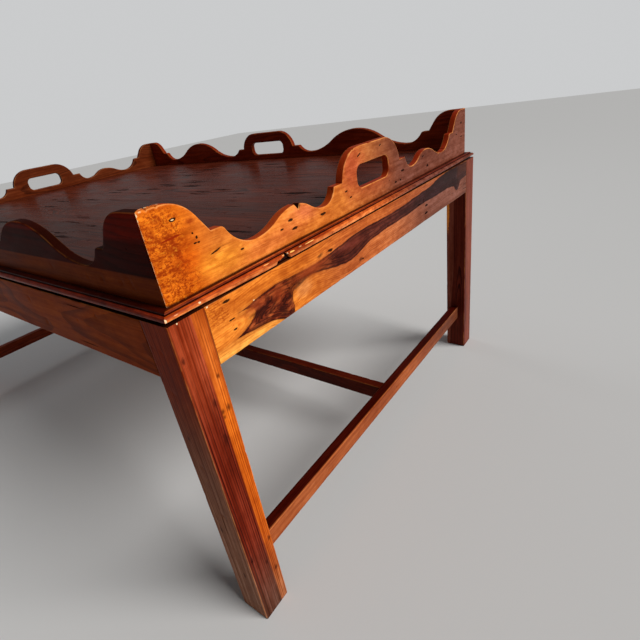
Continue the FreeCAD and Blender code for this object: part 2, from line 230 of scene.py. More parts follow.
def inward(points, distances):
    """How far each point of an outline moves when each of its sides moves inwards by its distance."""
    along = np.roll(points, -1, 0) - points
    along /= np.linalg.norm(along, axis=1)[:, None]
    normal = np.stack([-along[:, 1], along[:, 0]], 1)
    last_normal, last = np.roll(normal, 1, 0), np.roll(distances, 1)
    cross = last_normal[:, 0] * normal[:, 1] - last_normal[:, 1] * normal[:, 0]
    sharp = np.abs(cross) > 0.15
    safe = np.where(sharp, cross, 1)
    corner = np.stack([
        (last * normal[:, 1] - distances * last_normal[:, 1]) / safe,
        (distances * last_normal[:, 0] - last * normal[:, 0]) / safe,
    ], 1)
    middle = normal + last_normal
    middle /= np.linalg.norm(middle, axis=1)[:, None]
    smooth = middle * ((last + distances) / 2)[:, None]
    return np.where(sharp[:, None], corner, smooth)


def inside(points, outlines):
    """Whether each point is inside the outer outline and outside the holes."""
    odd = np.zeros(len(points), bool)
    for outline in outlines:
        for (x0, y0), (x1, y1) in zip(outline, np.roll(outline, -1, 0)):
            spans = (y0 > points[:, 1]) != (y1 > points[:, 1])
            if y0 != y1:
                meeting = x0 + (points[:, 1] - y0) * (x1 - x0) / (y1 - y0)
                odd ^= spans & (points[:, 0] < meeting)
    return odd


def distance_to(points, outlines):
    """How far each point is from the nearest outline."""
    nearest = np.full(len(points), np.inf)
    for outline in outlines:
        for start, end in zip(outline, np.roll(outline, -1, 0)):
            side = end - start
            share = np.clip((points - start) @ side / max(side @ side, 1e-12), 0, 1)
            away = np.linalg.norm(points - start - share[:, None] * side, axis=1)
            nearest = np.minimum(nearest, away)
    return nearest


# Wear

def roughly(place, pitch, seed):
    """Smooth noise from -1 to 1 with features of about the given pitch."""
    return noise.noise(Vector(place) / pitch + Vector((seed, seed * 1.7, -seed)))


def arris_wear(place, seed, wear):
    """How many times its usual width an arris has been worn to here."""
    slow = roughly(place, 0.045, seed)
    nick = max(0.0, roughly(place, 0.007, seed + 9) - 0.42) * 5
    return min(2.4, max(0.45, 1 + wear * (0.5 * slow + nick)))


class Dents:
    """Shallow dents at random places on a board's outer face."""

    def __init__(self, seed, count, box):
        draw = random.Random(seed)
        (u0, v0), (u1, v1) = box
        ranges = ((u0, u1), (v0, v1), (0.002, 0.005), (0.0003, 0.0009))
        self.list = [tuple(draw.uniform(*span) for span in ranges) for _ in range(count)]

    def points(self):
        """Extra mesh points that a dent's round shape needs."""
        made = []
        for u, v, radius, _ in self.list:
            made.append((u, v))
            for share, count in ((0.45, 6), (1.0, 8), (1.7, 10)):
                turns = [math.tau * k / count for k in range(count)]
                reach = radius * share
                made += [(u + reach * math.cos(t), v + reach * math.sin(t)) for t in turns]
        return np.array(made).reshape(-1, 2)

    def depth(self, points):
        total = np.zeros(len(points))
        for u, v, radius, depth in self.list:
            away = np.hypot(points[:, 0] - u, points[:, 1] - v) / radius
            total = np.maximum(total, depth * np.exp(-away**2))
        return total


# Meshes

def linked(name, data):
    """A new object in the scene."""
    made = bpy.data.objects.new(name, data)
    bpy.context.scene.collection.objects.link(made)
    return made


class Shell:
    """Points and faces of a piece in its board's own axes, with each point's share of wear."""

    def __init__(self):
        self.points, self.faces, self.worn = [], [], []

    def add(self, points, faces, worn):
        start = len(self.points)
        self.points += [tuple(p) for p in points]
        self.faces += [tuple(start + k for k in face) for face in faces]
        self.worn += list(worn)

    def piece(self, name, body, matrix, slot, material, *stands_for):
        """Make the Blender object, place it, parent it to the body it rides on, and hide the nodes it
        stands for.
        """
        mesh = bpy.data.meshes.new(name)
        mesh.from_pydata(self.points, [], self.faces)
        mesh.validate()
        attribute = mesh.attributes.new("worn", "FLOAT", "POINT")
        attribute.data.foreach_set("value", np.array(self.worn, np.float32))
        mesh.shade_smooth()
        mesh.set_sharp_from_angle(angle=math.radians(50))
        mesh.materials.append(material)
        made = linked(name, mesh)
        made.matrix_world = matrix
        weighted = made.modifiers.new("flat_faces", "WEIGHTED_NORMAL")
        weighted.keep_sharp = True
        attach(made, body)
        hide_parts(*stands_for)


def face_mesh(outlines, rims, front_rim, cell, dents, mitred):
    """The points and triangles of a board's face, and each point's number in the rims, if it has one."""
    half = np.abs(outlines[0][:, 0]).max()
    # points within the face: a quiet rim beside the arris, a grid and the dents
    extra = [p + inward(p, w + QUIET_RIM) for p, w in rims]
    start, end = outlines[0].min(0), outlines[0].max(0)
    counts = np.maximum(2, np.ceil((end - start) / cell)).astype(int)
    columns, rows = (np.linspace(start[k], end[k], counts[k] + 1)[1:-1] for k in (0, 1))
    if mitred:
        columns = columns[np.abs(columns) < half - MITRE_REACH]
        ends = [half - MITRE_ARRIS, half - MITRE_ARRIS * 0.62]
        columns = np.concatenate([columns, ends, [-e for e in ends]])
    grid = np.array([(u, v) for u in columns for v in rows]).reshape(-1, 2)
    grid = grid[inside(grid, front_rim)]
    extra.append(grid[distance_to(grid, front_rim) > cell * 0.62])
    if mitred:
        strip = grid[np.abs(grid[:, 0]) > half - MITRE_REACH]
        extra.append(strip[distance_to(strip, front_rim) > MITRE_ARRIS * 0.2])
    if dents:
        extra.append(dents.points())
    extra = np.concatenate(extra)
    extra = extra[inside(extra, front_rim)]
    extra = extra[distance_to(extra, front_rim) > LEAST_GAP]
    sides, first = [], 0
    for points in front_rim:
        count = len(points)
        sides += [(first + k, first + (k + 1) % count) for k in range(count)]
        first += count
    flat = np.concatenate([*front_rim, extra])
    result = geometry.delaunay_2d_cdt([Vector(p) for p in flat], sides, [], 0, 1e-6)
    points = np.array([tuple(p) for p in result[0]])
    source = [origin[0] if origin else -1 for origin in result[3]]
    triangles = np.array(result[2])
    triangles = triangles[inside(points[triangles].mean(1), front_rim)]
    one, two = (points[triangles[:, k]] - points[triangles[:, 0]] for k in (1, 2))
    forwards = one[:, 0] * two[:, 1] > one[:, 1] * two[:, 0]
    return points, source, np.where(forwards[:, None], triangles, triangles[:, ::-1])


def slab(shell, outlines, widths, thickness, seed, wear=0.6, cell=CELL, dents=None, mitred=False, top=0.0):
    """A board of the given outlines with rounded, worn arrises. widths has one arris per side."""
    rims = [divided(o, w, cell) for o, w in zip(outlines, widths)]
    moves = [inward(points, w) for points, w in rims]
    front_wear, back_wear = (
        [np.array([arris_wear((u, v, depth), seed, wear) for u, v in points]) for points, _ in rims]
        for depth in (0.0, thickness)
    )
    front_rim = [p + m * g[:, None] for (p, _), m, g in zip(rims, moves, front_wear)]
    face_points, source, triangles = face_mesh(outlines, rims, front_rim, cell, dents, mitred)
    all_points, worn, loops = [], [], []

    def undulation(points, depth, seed):
        wave = np.array([roughly((u, v, depth), 0.07, seed) for u, v in points])
        return UNDULATION * (1 + wave) / 2

    def hollow(points):
        sunk = undulation(points, 0, seed + 3)
        return sunk + dents.depth(points) if dents else sunk

    def add_ring(points, depths, share):
        loops[-1].append(len(all_points))
        all_points.extend((u, v, depth) for (u, v), depth in zip(points, depths))
        worn.extend([share] * len(points))

    for (points, w), move, front, back in zip(rims, moves, front_wear, back_wear):
        loops.append([])
        size = np.maximum(w, np.roll(w, 1))
        for sine, cosine, share in ARRIS_ROUND:
            depths = size * front * (1 - cosine) + hollow(points) * cosine
            add_ring(points + move * (front * (1 - sine))[:, None], depths, share)
        wall = max(1, round((thickness - 2 * size.max()) / cell))
        for part in range(1, wall):
            depth = thickness * part / wall
            sunk = undulation(points, depth, seed + 5) / np.maximum(size, 1e-4)
            add_ring(points + move * np.minimum(sunk, 0.3)[:, None], [depth] * len(points), 0.0)
        for sine, cosine, share in ARRIS_ROUND[::-1]:
            depths = thickness - size * back * (1 - cosine)
            add_ring(points + move * (back * (1 - sine))[:, None], depths, share)

    # join the rings of each outline, then fill the two faces
    faces, front_index, back_index = [], [], []
    for starts, (points, _) in zip(loops, rims):
        count = len(points)
        for upper, lower in zip(starts, starts[1:]):
            for k in range(count):
                n = (k + 1) % count
                faces.append((upper + k, lower + k, lower + n, upper + n))
        front_index += range(starts[0], starts[0] + count)
        back_index += range(starts[-1], starts[-1] + count)
    flat_back = [thickness] * len(face_points)
    for index, depths, turn in ((front_index, hollow(face_points), 1), (back_index, flat_back, -1)):
        place = []
        for origin, (u, v), depth in zip(source, face_points, depths):
            if 0 <= origin < len(index):
                place.append(index[origin])
            else:
                place.append(len(all_points))
                all_points.append((u, v, depth))
                worn.append(0.0)
        faces += [tuple(place[k] for k in triangle[::turn]) for triangle in triangles]

    made = np.array(all_points)
    if mitred:
        half = np.abs(outlines[0][:, 0]).max()
        made = mitre(made, half, thickness)
        edge = np.clip(1 - (half - np.abs(made[:, 0])) / WORN_MITRE, 0, 1) * (made[:, 2] < 0.001)
        worn = np.maximum(worn, edge)
    made[:, 2] = top - made[:, 2]
    shell.add(made, faces, worn)


def slab_piece(place, outlines, widths, thickness, seed, **how):
    """A piece that is one slab. place has its name, body, matrix, slot, material and node; the slot is not
    used.
    """
    shell = Shell()
    slab(shell, outlines, widths, thickness, seed, **how)
    shell.piece(*place)


def mitre(points, half, thickness):
    """Lean the board's ends to 45 degrees, and round the outer corner that two boards share."""
    u, depth = np.abs(points[:, 0]), points[:, 2]
    lean_from = half - thickness - CELL
    lean = np.clip((u - lean_from) / (half - lean_from), 0, 1)
    into = np.clip(MITRE_ARRIS - (half - u), 0, MITRE_ARRIS * math.sqrt(0.5))
    fade = np.clip(1 - 2 * depth / thickness, 0, 1)
    rounded = (MITRE_ARRIS - np.sqrt(MITRE_ARRIS**2 - into**2)) * fade
    shift = np.where(into > 0, (u - (half - MITRE_ARRIS)) - into, 0) * fade
    made = points.copy()
    made[:, 0] = np.sign(points[:, 0]) * (u - shift - lean * depth)
    made[:, 2] = depth + rounded
    return made


# Materials

class Shader:
    """Short calls that add nodes to one material and join them."""

    def __init__(self, name):
        self.material = bpy.data.materials.new(name)
        self.material.use_nodes = True
        self.tree = self.material.node_tree
        self.surface = self.tree.nodes["Principled BSDF"]

    def put(self, socket, value):
        if isinstance(value, bpy.types.NodeSocket):
            self.tree.links.new(value, socket)
        else:
            socket.default_value = value

    def node(self, kind, **settings):
        made = self.tree.nodes.new(kind)
        for name, value in settings.items():
            setattr(made, name, value)
        return made

    def math(self, operation, a, b=0.0, clamp=False):
        made = self.node("ShaderNodeMath", operation=operation, use_clamp=clamp)
        self.put(made.inputs[0], a)
        self.put(made.inputs[1], b)
        return made.outputs[0]

    def total(self, first, *others):
        for other in others:
            first = self.math("ADD", first, other)
        return first

    def product(self, first, *others):
        for other in others:
            first = self.math("MULTIPLY", first, other)
        return first

    def minus(self, a, b):
        return self.math("SUBTRACT", a, b)

    def apart(self, a, b):
        return self.math("ABSOLUTE", self.minus(a, b))

    def most(self, a, b):
        return self.math("MAXIMUM", a, b)

    def vector(self, operation, a, b=(0, 0, 0)):
        made = self.node("ShaderNodeVectorMath", operation=operation)
        self.put(made.inputs[0], a)
        self.put(made.inputs[1], b)
        return made.outputs["Value" if operation == "LENGTH" else "Vector"]

    def board_place(self):
        """The place in the board's own axes, in metres."""
        return self.node("ShaderNodeTexCoord").outputs["Object"]

    def split(self, vector):
        made = self.node("ShaderNodeSeparateXYZ")
        self.put(made.inputs[0], vector)
        return made.outputs

    def joined(self, x, y, z):
        made = self.node("ShaderNodeCombineXYZ")
        for socket, value in zip(made.inputs, (x, y, z)):
            self.put(socket, value)
        return made.outputs[0]

    def noise(self, place, scale, detail, output="Fac", rough=0.5):
        """Noise with its own number of features per metre along each axis."""
        made = self.node("ShaderNodeTexNoise")
        self.put(made.inputs["Vector"], self.vector("MULTIPLY", place, scale))
        made.inputs["Scale"].default_value = 1
        made.inputs["Detail"].default_value = detail
        made.inputs["Roughness"].default_value = rough
        return made.outputs[output]

    def cells(self, place, scale):
        """Distance to, and random number of, the nearest of many scattered points."""
        made = self.node("ShaderNodeTexVoronoi")
        self.put(made.inputs["Vector"], self.vector("MULTIPLY", place, scale))
        made.inputs["Scale"].default_value = 1
        return made.outputs["Distance"], self.split(made.outputs["Color"])[0]

    def step(self, value, start, end, low_value=0.0, high_value=1.0):
        """A smooth step between two values of the input."""
        made = self.node("ShaderNodeMapRange", interpolation_type="SMOOTHSTEP")
        for socket, given in zip(made.inputs, (value, start, end, low_value, high_value)):
            self.put(socket, given)
        return made.outputs[0]

    def curve(self, value, points):
        """The height, at the value, of a line drawn through the points."""
        made = self.node("ShaderNodeFloatCurve")
        (x0, x1), (y0, y1) = CURVE_X, CURVE_Y
        self.put(made.inputs["Value"], self.math("DIVIDE", self.minus(value, x0), x1 - x0))
        line = made.mapping.curves[0].points
        shares = [((x - x0) / (x1 - x0), (y - y0) / (y1 - y0)) for x, y in points]
        line[0].location, line[1].location = shares[0], shares[-1]
        for share in shares[1:-1]:
            line.new(*share)
        for point in line:
            point.handle_type = "VECTOR"
        made.mapping.update()
        return self.total(self.product(made.outputs[0], y1 - y0), y0)

    def mix(self, share, a, b, blend="MIX"):
        made = self.node("ShaderNodeMix", data_type="RGBA", blend_type=blend)
        self.put(made.inputs[0], share)
        self.put(made.inputs[6], a)
        self.put(made.inputs[7], b)
        return made.outputs[2]

    def over(self, colour, coat, *shares):
        """The colour under a coat of another, which covers it by the product of the shares."""
        return self.mix(self.product(*shares), colour, coat)

    def shaded(self, colour, value):
        """The colour times a value that is redder where it is dark, as stained wood is."""
        shade = self.joined(self.math("POWER", value, 0.65), value, self.math("POWER", value, 1.35))
        return self.mix(1.0, colour, shade, "MULTIPLY")

    def attribute(self, name):
        return self.node("ShaderNodeAttribute", attribute_name=name).outputs["Fac"]

    def bumped(self, height, strength, distance):
        bump = self.node("ShaderNodeBump")
        bump.inputs["Strength"].default_value = strength
        bump.inputs["Distance"].default_value = distance
        self.put(bump.inputs["Height"], height)
        self.put(self.surface.inputs["Normal"], bump.outputs[0])


def rgb(red, green, blue):
    """A colour written in 0 to 255 sRGB, as Blender's linear colour."""
    shares = [c / 255 for c in (red, green, blue)]
    linear = [c / 12.92 if c <= 0.04045 else ((c + 0.055) / 1.055) ** 2.4 for c in shares]
    return (*linear, 1.0)


# Early wood and late wood of each kind
HONEY_SAP = (rgb(232, 134, 46), rgb(206, 100, 26))
GALLERY_SAP = (rgb(230, 132, 52), rgb(204, 98, 28))
LEG_SAP = (rgb(224, 112, 28), rgb(160, 60, 10))
LEG_HEART = (rgb(122, 40, 20), rgb(54, 14, 8))
# Painted shade: the far leg's colours, darker and greyer, as on the shaded side of the table
FAR_LEG_SHADED_SAP = (rgb(136, 68, 50), rgb(96, 42, 32))
FAR_LEG_SHADED_HEART = (rgb(100, 34, 20), rgb(52, 12, 6))
APRON_HEART = (rgb(118, 44, 20), rgb(46, 12, 7))
HEART_LIGHT = rgb(176, 82, 36)
REDWOOD = (rgb(158, 72, 22), rgb(96, 34, 8))
FLOORWOOD = (rgb(92, 38, 24), rgb(42, 14, 8))
# Painted shade: the dark top face of a leg or apron, seen in the gap under the tray
GAP_SHADE = rgb(34, 13, 8)
PLAINWOOD = (rgb(205, 165, 115), rgb(165, 118, 72))
# Dark pits and grain streaks, and the painted shade that ambient occlusion lays in crevices
GRIME_AND_SHADE = rgb(20, 6, 4)
# Bare wood at chips, and painted glints
PALE = rgb(240, 206, 160)
# Stain taken up by sawn edges, made darker still as painted shade
CUT_STAIN_AND_SHADE = rgb(140, 44, 5)
# Finish worn off an arris, and a painted highlight along it
RUBBED_AND_HIGHLIT = rgb(240, 158, 84)
BURL_DARK = rgb(142, 44, 2)
BURL_LIGHT = rgb(250, 160, 40)

# A board's defaults, which Board explains.
PINE = {
    "pith": (0.03, -0.09), "tilt": (0.0, 0.0), "heart": 0.0, "bend": 0.05, "ripple": 0.012,
    "heart_line": (), "inlets": (), "contours": (), "sap": HONEY_SAP, "dark": REDWOOD,
    "ring": 0.003, "figure": 0.7, "streak": 0.3, "lines": 0.0, "mottle": 0.28, "crinkle": 0.14,
    "fades": (), "washes": (), "knots": (), "burls": (), "spots": (), "pale_spots": (),
    "tinted_spots": (), "smudges": (), "blushes": (), "cracks": 0.0, "holes": 0.5, "checks": 0.2,
    "coarse": 1.0, "rub": 0.25, "chips": None, "rough": 0.36, "index": 1.12, "turn": 0.0,
    "stained": 0.0, "bare_from": 0.0, "cut": CUT_STAIN_AND_SHADE, "top_axis": None, "top_colour": GAP_SHADE,
}


class Board(Shader):
    """Polished pine, cut from a log of its own. Its marks are in millimetres, all else in metres.

    pith is where the log's middle lies in the board's v and w, tilt is how fast it leaves the board
    along u, and heart is the radius of its heartwood. bend and ripple make its rings and its edge
    uneven. heart_line draws the heartwood on the outer face instead, as (u, lowest v, highest v,
    thousandths of a tenth of its strength). inlets are spots of sapwood in it, and contours are dark
    lines that deep inside it. sap and dark are the early and late wood of sapwood and heartwood.

    A spot is (u, v, half length, half height), and a lean and a w may follow. spots are holes,
    smudges are dark stains and pale_spots are bare wood and painted glints. tinted_spots are
    (spot, colour), some of them painted glints, and blushes are soft ones, (spot, colour, share).
    knots are (u, v, radius), and burls, which are patches of curly grain, are (u, v, radius, share).
    fades are (start, end, sap, dark, share) along u: tone that shifts along the board, painted shade
    where the light falls off towards a far end, and painted light from the floor at a leg's foot.
    washes are (ramps, colour, share), where a ramp is (axis, start, end); some of them are painted
    shade and some painted light. chips are pale ones on the rim, (start, end, share) along u.
    stained is the share of the cut colour on edges that were sawn, stain taken up there and painted
    shade on those edges, and bare_from is where it begins. rub is how much an arris is worn, and
    painted lighter as a highlight. The face whose normal is along top_axis has the top_colour, a
    painted shade for the dark gap under the tray.
    """

    def __init__(self, name, seed, **given):
        super().__init__(name)
        look = SimpleNamespace(**{**PINE, **given})
        self.place = self.board_place()
        if look.turn:
            turned = self.node("ShaderNodeVectorRotate", rotation_type="Z_AXIS")
            self.put(turned.inputs["Vector"], self.place)
            turned.inputs["Angle"].default_value = look.turn
            self.place = turned.outputs[0]
        self.seeded = self.vector("ADD", self.place, (seed * 1.37, seed * 0.71, seed * 2.13))
        self.u, self.v, self.w = self.split(self.place)
        self.cloud = self.grain(9, 16, 5, rough=0.62)
        self.fibre = self.grain(14, 900, 4, rough=0.65)

        radius, in_heart, border = self.log(look)
        late = self.rings(look, radius)
        colour = self.burls(look, self.wood(look, late, in_heart, border))
        # Sawn edges take the cut colour: stain taken up there, and painted shade
        if look.stained:
            cut = self.step(self.math("ABSOLUTE", self.facing(2)), 0.85, 0.4, 0.0, look.stained)
            if look.bare_from:
                cut = self.product(cut, self.step(self.u, look.bare_from, look.bare_from + 0.012))
            colour = self.mix(cut, colour, self.ringed(late, look.cut))
        # Painted shade: the face along top_axis, seen in the dark gap under the tray, is coloured dark
        if look.top_axis is not None:
            shaded_top = self.step(self.facing(look.top_axis), 0.5, 0.8, 0.0, 0.95)
            colour = self.mix(shaded_top, colour, look.top_colour)
        holes = self.holes(look)
        streak = self.step(self.grain(30, 700, 2), 0.66, 0.72)
        dirt = self.most(self.product(streak, 0.3), self.product(holes, 0.95))
        colour = self.mix(dirt, colour, GRIME_AND_SHADE)
        # Pale spots are bare wood and painted glints; some tinted spots are painted glints too
        for spot, tint in [(spot, PALE) for spot in look.pale_spots] + list(look.tinted_spots):
            colour = self.mix(self.step(self.away(spot), 1.2, 0.8), colour, tint)
        rubbed_and_highlit, colour = self.worn(look, colour)
        self.put(self.surface.inputs["Base Color"], colour)

        uneven = self.step(self.cloud, 0.3, 0.7, look.rough - 0.06, look.rough + 0.08)
        self.put(self.surface.inputs["Roughness"], self.total(uneven, self.product(holes, 0.4)))
        self.surface.inputs["IOR"].default_value = look.index
        parts = ((late, 0.25), (self.fibre, 0.35), (holes, -2.2), (rubbed_and_highlit, -0.3))
        self.bumped(self.total(*[self.product(*part) for part in parts]), 0.35, 0.0006)

    def grain(self, along, across, detail, **given):
        """Noise with its own number of features per metre along and across the grain."""
        return self.noise(self.seeded, (along, across, across), detail, **given)

    def facing(self, axis):
        """The part of the face's normal along one of the board's axes."""
        return self.split(self.node("ShaderNodeTexCoord").outputs["Normal"])[axis]

    def ringed(self, late, colour):
        """Early wood of the colour, with darker late wood."""
        return self.mix(late, colour, (*[c * 0.6 for c in colour[:3]], 1.0))

    def varied(self, colour, pattern, start, end, amount, lighter=0.7):
        """The colour, darker by the amount where the pattern is low and lighter where it is high."""
        return self.shaded(colour, self.step(pattern, start, end, 1 - amount, 1 + amount * lighter))

    def away(self, spot, ragged=0.9):
        """Distance from a spot's middle, where 1 is at its more or less ragged rim."""
        u, v, half_length, half_height, lean, w = (*spot, 0, 0)[:6]
        offset = self.vector("SUBTRACT", self.place, (u / 1000, v / 1000, w / 1000))
        if lean:
            along, across, deep = self.split(offset)
            offset = self.joined(along, self.minus(across, self.product(along, lean)), deep)
        sizes = (1000 / half_length, 1000 / half_height, 1000 / half_height)
        uneven = self.product(self.grain(260, 420, 2), ragged)
        length = self.vector("LENGTH", self.vector("MULTIPLY", offset, sizes))
        return self.total(length, uneven, -ragged / 2)

    def log(self, look):
        """Distance from the pith, whether it is in the heartwood, and the heartwood's dark border."""
        if look.heart_line:
            low_line, high_line, strength = (
                self.curve(self.u, [(point[0] / 1000, point[k] / 1000) for point in look.heart_line])
                for k in (1, 2, 3)
            )
            ripple = self.minus(self.grain(22, 60, 5), 0.5)
            depth = self.math("MINIMUM", self.minus(self.v, low_line), self.minus(high_line, self.v))
            depth = self.total(depth, self.product(ripple, 0.007))
            for inlet in look.inlets:
                beyond = self.minus(self.away(inlet, 0.12), 1.0)
                depth = self.math("MINIMUM", depth, self.product(beyond, inlet[3] / 1000))
            radius = self.minus(0.06, depth)
            within = self.step(depth, -0.0005, 0.0007)
            in_heart = self.product(within, strength, 10)
            strong = self.total(self.product(strength, 6), 0.25)
            border = self.product(self.step(depth, 0.0028, 0.0006), strong)
            for line in look.contours:
                contour = self.step(self.apart(depth, line), 0.0014, 0.0004, 0.0, 0.8)
                border = self.most(border, contour)
            border = self.product(within, border)
            self.halo = self.step(depth, -0.0060, 0.0, 0.0, 0.35)
        else:
            bend = self.vector("SUBTRACT", self.grain(2, 7, 2, output="Color"), (0.5, 0.5, 0.5))
            _, bend_v, bend_w = self.split(bend)
            across = [
                self.total(c, -at, self.product(shift, look.bend), self.product(self.u, -lean))
                for c, at, shift, lean in zip((self.v, self.w), look.pith, (bend_v, bend_w), look.tilt)
            ]
            radius = self.math("SQRT", self.total(*[self.product(c, c) for c in across]))
            ripple = self.minus(self.grain(5, 30, 4), 0.5)
            edge = self.total(radius, self.product(ripple, look.ripple))
            in_heart = self.step(edge, look.heart + 0.0012, look.heart - 0.0012)
            border = 0.0
        # a knot pushes the rings aside
        for u, v, size in look.knots:
            near = self.away((u, v, size * 2.4, size))
            radius = self.minus(radius, self.step(near, 3.2, 0.0, 0.0, size * 2.2 / 1000))
        return radius, in_heart, border

    def rings(self, look, radius):
        """The late wood of each year's ring."""
        wobble = self.product(self.grain(3, 60, 3), 0.9)
        turns = self.total(self.math("DIVIDE", radius, look.ring), wobble)
        phase = self.math("FRACT", turns)
        late = self.product(self.step(phase, 0.25, 0.86), self.step(phase, 1.0, 0.93))
        year = self.node("ShaderNodeTexWhiteNoise", noise_dimensions="1D")
        self.put(year.inputs["W"], self.math("FLOOR", turns))
        strength = self.step(year.outputs["Value"], 0.0, 1.0, 0.3 * look.figure, look.figure)
        return self.product(late, strength)

    def wood(self, look, late, in_heart, border):
        """The wood's own colour, before any marks."""
        colour = self.mix(in_heart, self.mix(late, *look.sap), self.mix(late, *look.dark))
        if look.heart_line:
            in_sap = self.minus(1.0, in_heart)
            patches = self.grain(38, 80, 4, rough=0.6)
            colour = self.over(colour, look.dark[0], self.halo, in_sap)
            colour = self.over(colour, HEART_LIGHT, in_heart, self.step(patches, 0.50, 0.62), 0.75)
            colour = self.over(colour, look.dark[1], in_heart, self.step(patches, 0.46, 0.38), 0.75)
        # Colour shifting along u: tone, painted shade where the light falls off, and painted floor light
        for start, end, sap, dark, share in look.fades:
            shifted_tone = self.mix(in_heart, self.ringed(late, sap), self.ringed(late, dark))
            colour = self.mix(self.step(self.u, start, end, 0.0, share), colour, shifted_tone)
        if look.heart_line:
            uneven = self.shaded(colour, self.step(patches, 0.40, 0.60, 0.74, 1.22))
            colour = self.mix(in_heart, colour, uneven)
            colour = self.over(colour, look.dark[1], border, 0.85)
        for ramps, wash, share in look.washes:
            here = [self.step((self.u, self.v, self.w)[k], start, end) for k, start, end in ramps]
            if look.heart_line:
                here.append(in_sap)
            colour = self.over(colour, self.ringed(late, wash), share, *here)
        for spot, tint, share in [(s, look.dark[1], 0.75) for s in look.smudges] + list(look.blushes):
            colour = self.mix(self.step(self.away(spot), 1.6, 0.2, 0.0, share), colour, tint)
        colour = self.shaded(colour, self.step(self.fibre, 0.25, 0.75, 0.82, 1.12))
        colour = self.varied(colour, self.grain(5, 190, 3, rough=0.6), 0.3, 0.7, look.streak)
        if look.lines:
            colour = self.varied(colour, self.grain(4, 430, 2), 0.36, 0.60, look.lines, 0.6)
        colour = self.varied(colour, self.grain(70, 150, 4, rough=0.6), 0.34, 0.66, look.crinkle)
        return self.varied(colour, self.cloud, 0.32, 0.68, look.mottle)

    def burls(self, look, colour):
        """Patches of curly grain."""
        for u, v, radius, share in look.burls:
            near = self.step(self.away((u, v, radius, radius)), 1.15, 0.5, 0.0, share)
            curl = self.noise(self.seeded, (210, 330, 210), 5, rough=0.75)
            specks = self.noise(self.seeded, (520, 700, 520), 2)
            vein = self.apart(self.noise(self.seeded, (120, 170, 120), 3), 0.5)
            colour = self.over(colour, BURL_DARK, self.step(curl, 0.47, 0.60), near, 0.8)
            colour = self.over(colour, BURL_LIGHT, self.step(curl, 0.46, 0.34), near, 0.45)
            colour = self.over(colour, BURL_DARK, self.step(specks, 0.60, 0.70), near, 0.6)
            colour = self.over(colour, BURL_DARK, self.step(vein, 0.030, 0.010), near, 0.75)
        return colour

    def holes(self, look):
        """Round holes, drying checks, chosen spots and torn cracks."""
        away, chance = self.cells(self.seeded, (45, 45, 45))
        holes = self.product(self.step(away, 0.075, 0.045), self.step(chance, 1 - look.holes * 0.3, 1.0))
        for along, across, width in ((16, 110, 0.12), (6, 170, 0.16)):
            away, chance = self.cells(self.seeded, (along, across / look.coarse, across / look.coarse))
            likely = self.step(chance, 1 - look.checks * 0.5, 1.0)
            holes = self.most(holes, self.product(self.step(away, width, width * 0.4), likely))
        for spot in look.spots:
            holes = self.most(holes, self.step(self.away(spot), 1.25, 0.85))
        if look.cracks:
            wave = self.minus(self.noise(self.seeded, (26, 40, 26), 3), 0.5)
            wavy = self.vector("ADD", self.seeded, self.joined(0.0, self.product(wave, 0.014), 0.0))
            away, chance = self.cells(wavy, (9, 74, 6))
            torn = self.total(away, self.product(self.noise(self.seeded, (60, 320, 60), 3), 0.5), -0.25)
            zone = self.step(self.noise(self.seeded, (2.6, 7, 1), 2), 0.46, 0.54)
            likely = self.step(chance, 0.2, 0.32)
            holes = self.most(holes, self.product(self.step(torn, 0.34, 0.24), likely, zone, look.cracks))
        return holes

    def worn(self, look, colour):
        """Worn arrises, lighter also as a painted highlight, pale chips, and painted shade in the crevices.
        """
        worn = self.attribute("worn")
        bare = self.step(self.grain(50, 50, 5), 0.34, 0.6)
        # Worn arrises, coloured lighter where the finish is worn and as a painted highlight
        rubbed_and_highlit = self.product(self.step(worn, 0.5, 0.95), bare, look.rub)
        colour = self.mix(rubbed_and_highlit, colour, RUBBED_AND_HIGHLIT)
        if look.chips:
            start, end, share = look.chips
            small = self.step(self.grain(330, 330, 3), 0.44, 0.52)
            at_rim = self.most(self.step(self.w, -0.0050, -0.0080), self.step(self.u, end, end - 0.004))
            along = self.step(self.u, start, end)
            colour = self.over(colour, PALE, self.step(worn, 0.5, 0.85), small, along, at_rim, share)
        # Painted shade: ambient occlusion darkens the colour in crevices and joints
        occlusion_shade = self.node("ShaderNodeAmbientOcclusion", samples=6)
        occlusion_shade.inputs["Distance"].default_value = CREVICE_SHADE_REACH
        return rubbed_and_highlit, self.mix(self.step(occlusion_shade.outputs["AO"], 0.25, 0.75, 0.92, 0.0), colour, GRIME_AND_SHADE)


def steel():
    make = Shader("worn_steel")
    stain = make.noise(make.board_place(), (300.0, 300.0, 300.0), 4)
    colour = make.mix(make.step(stain, 0.45, 0.7), rgb(150, 146, 138), rgb(92, 66, 46))
    make.put(make.surface.inputs["Base Color"], colour)
    make.surface.inputs["Metallic"].default_value = 0.9
    make.put(make.surface.inputs["Roughness"], make.step(stain, 0.3, 0.7, 0.3, 0.6))
    make.bumped(stain, 0.3, 0.0002)
    return make.material


# The stand

def reach_of(node, facing):
    """How far the node's outer face is from the table's middle, and its thickness."""
    start, end = low(node), high(node)
    return max(facing.dot(start), facing.dot(end)), abs(facing.dot(end - start))


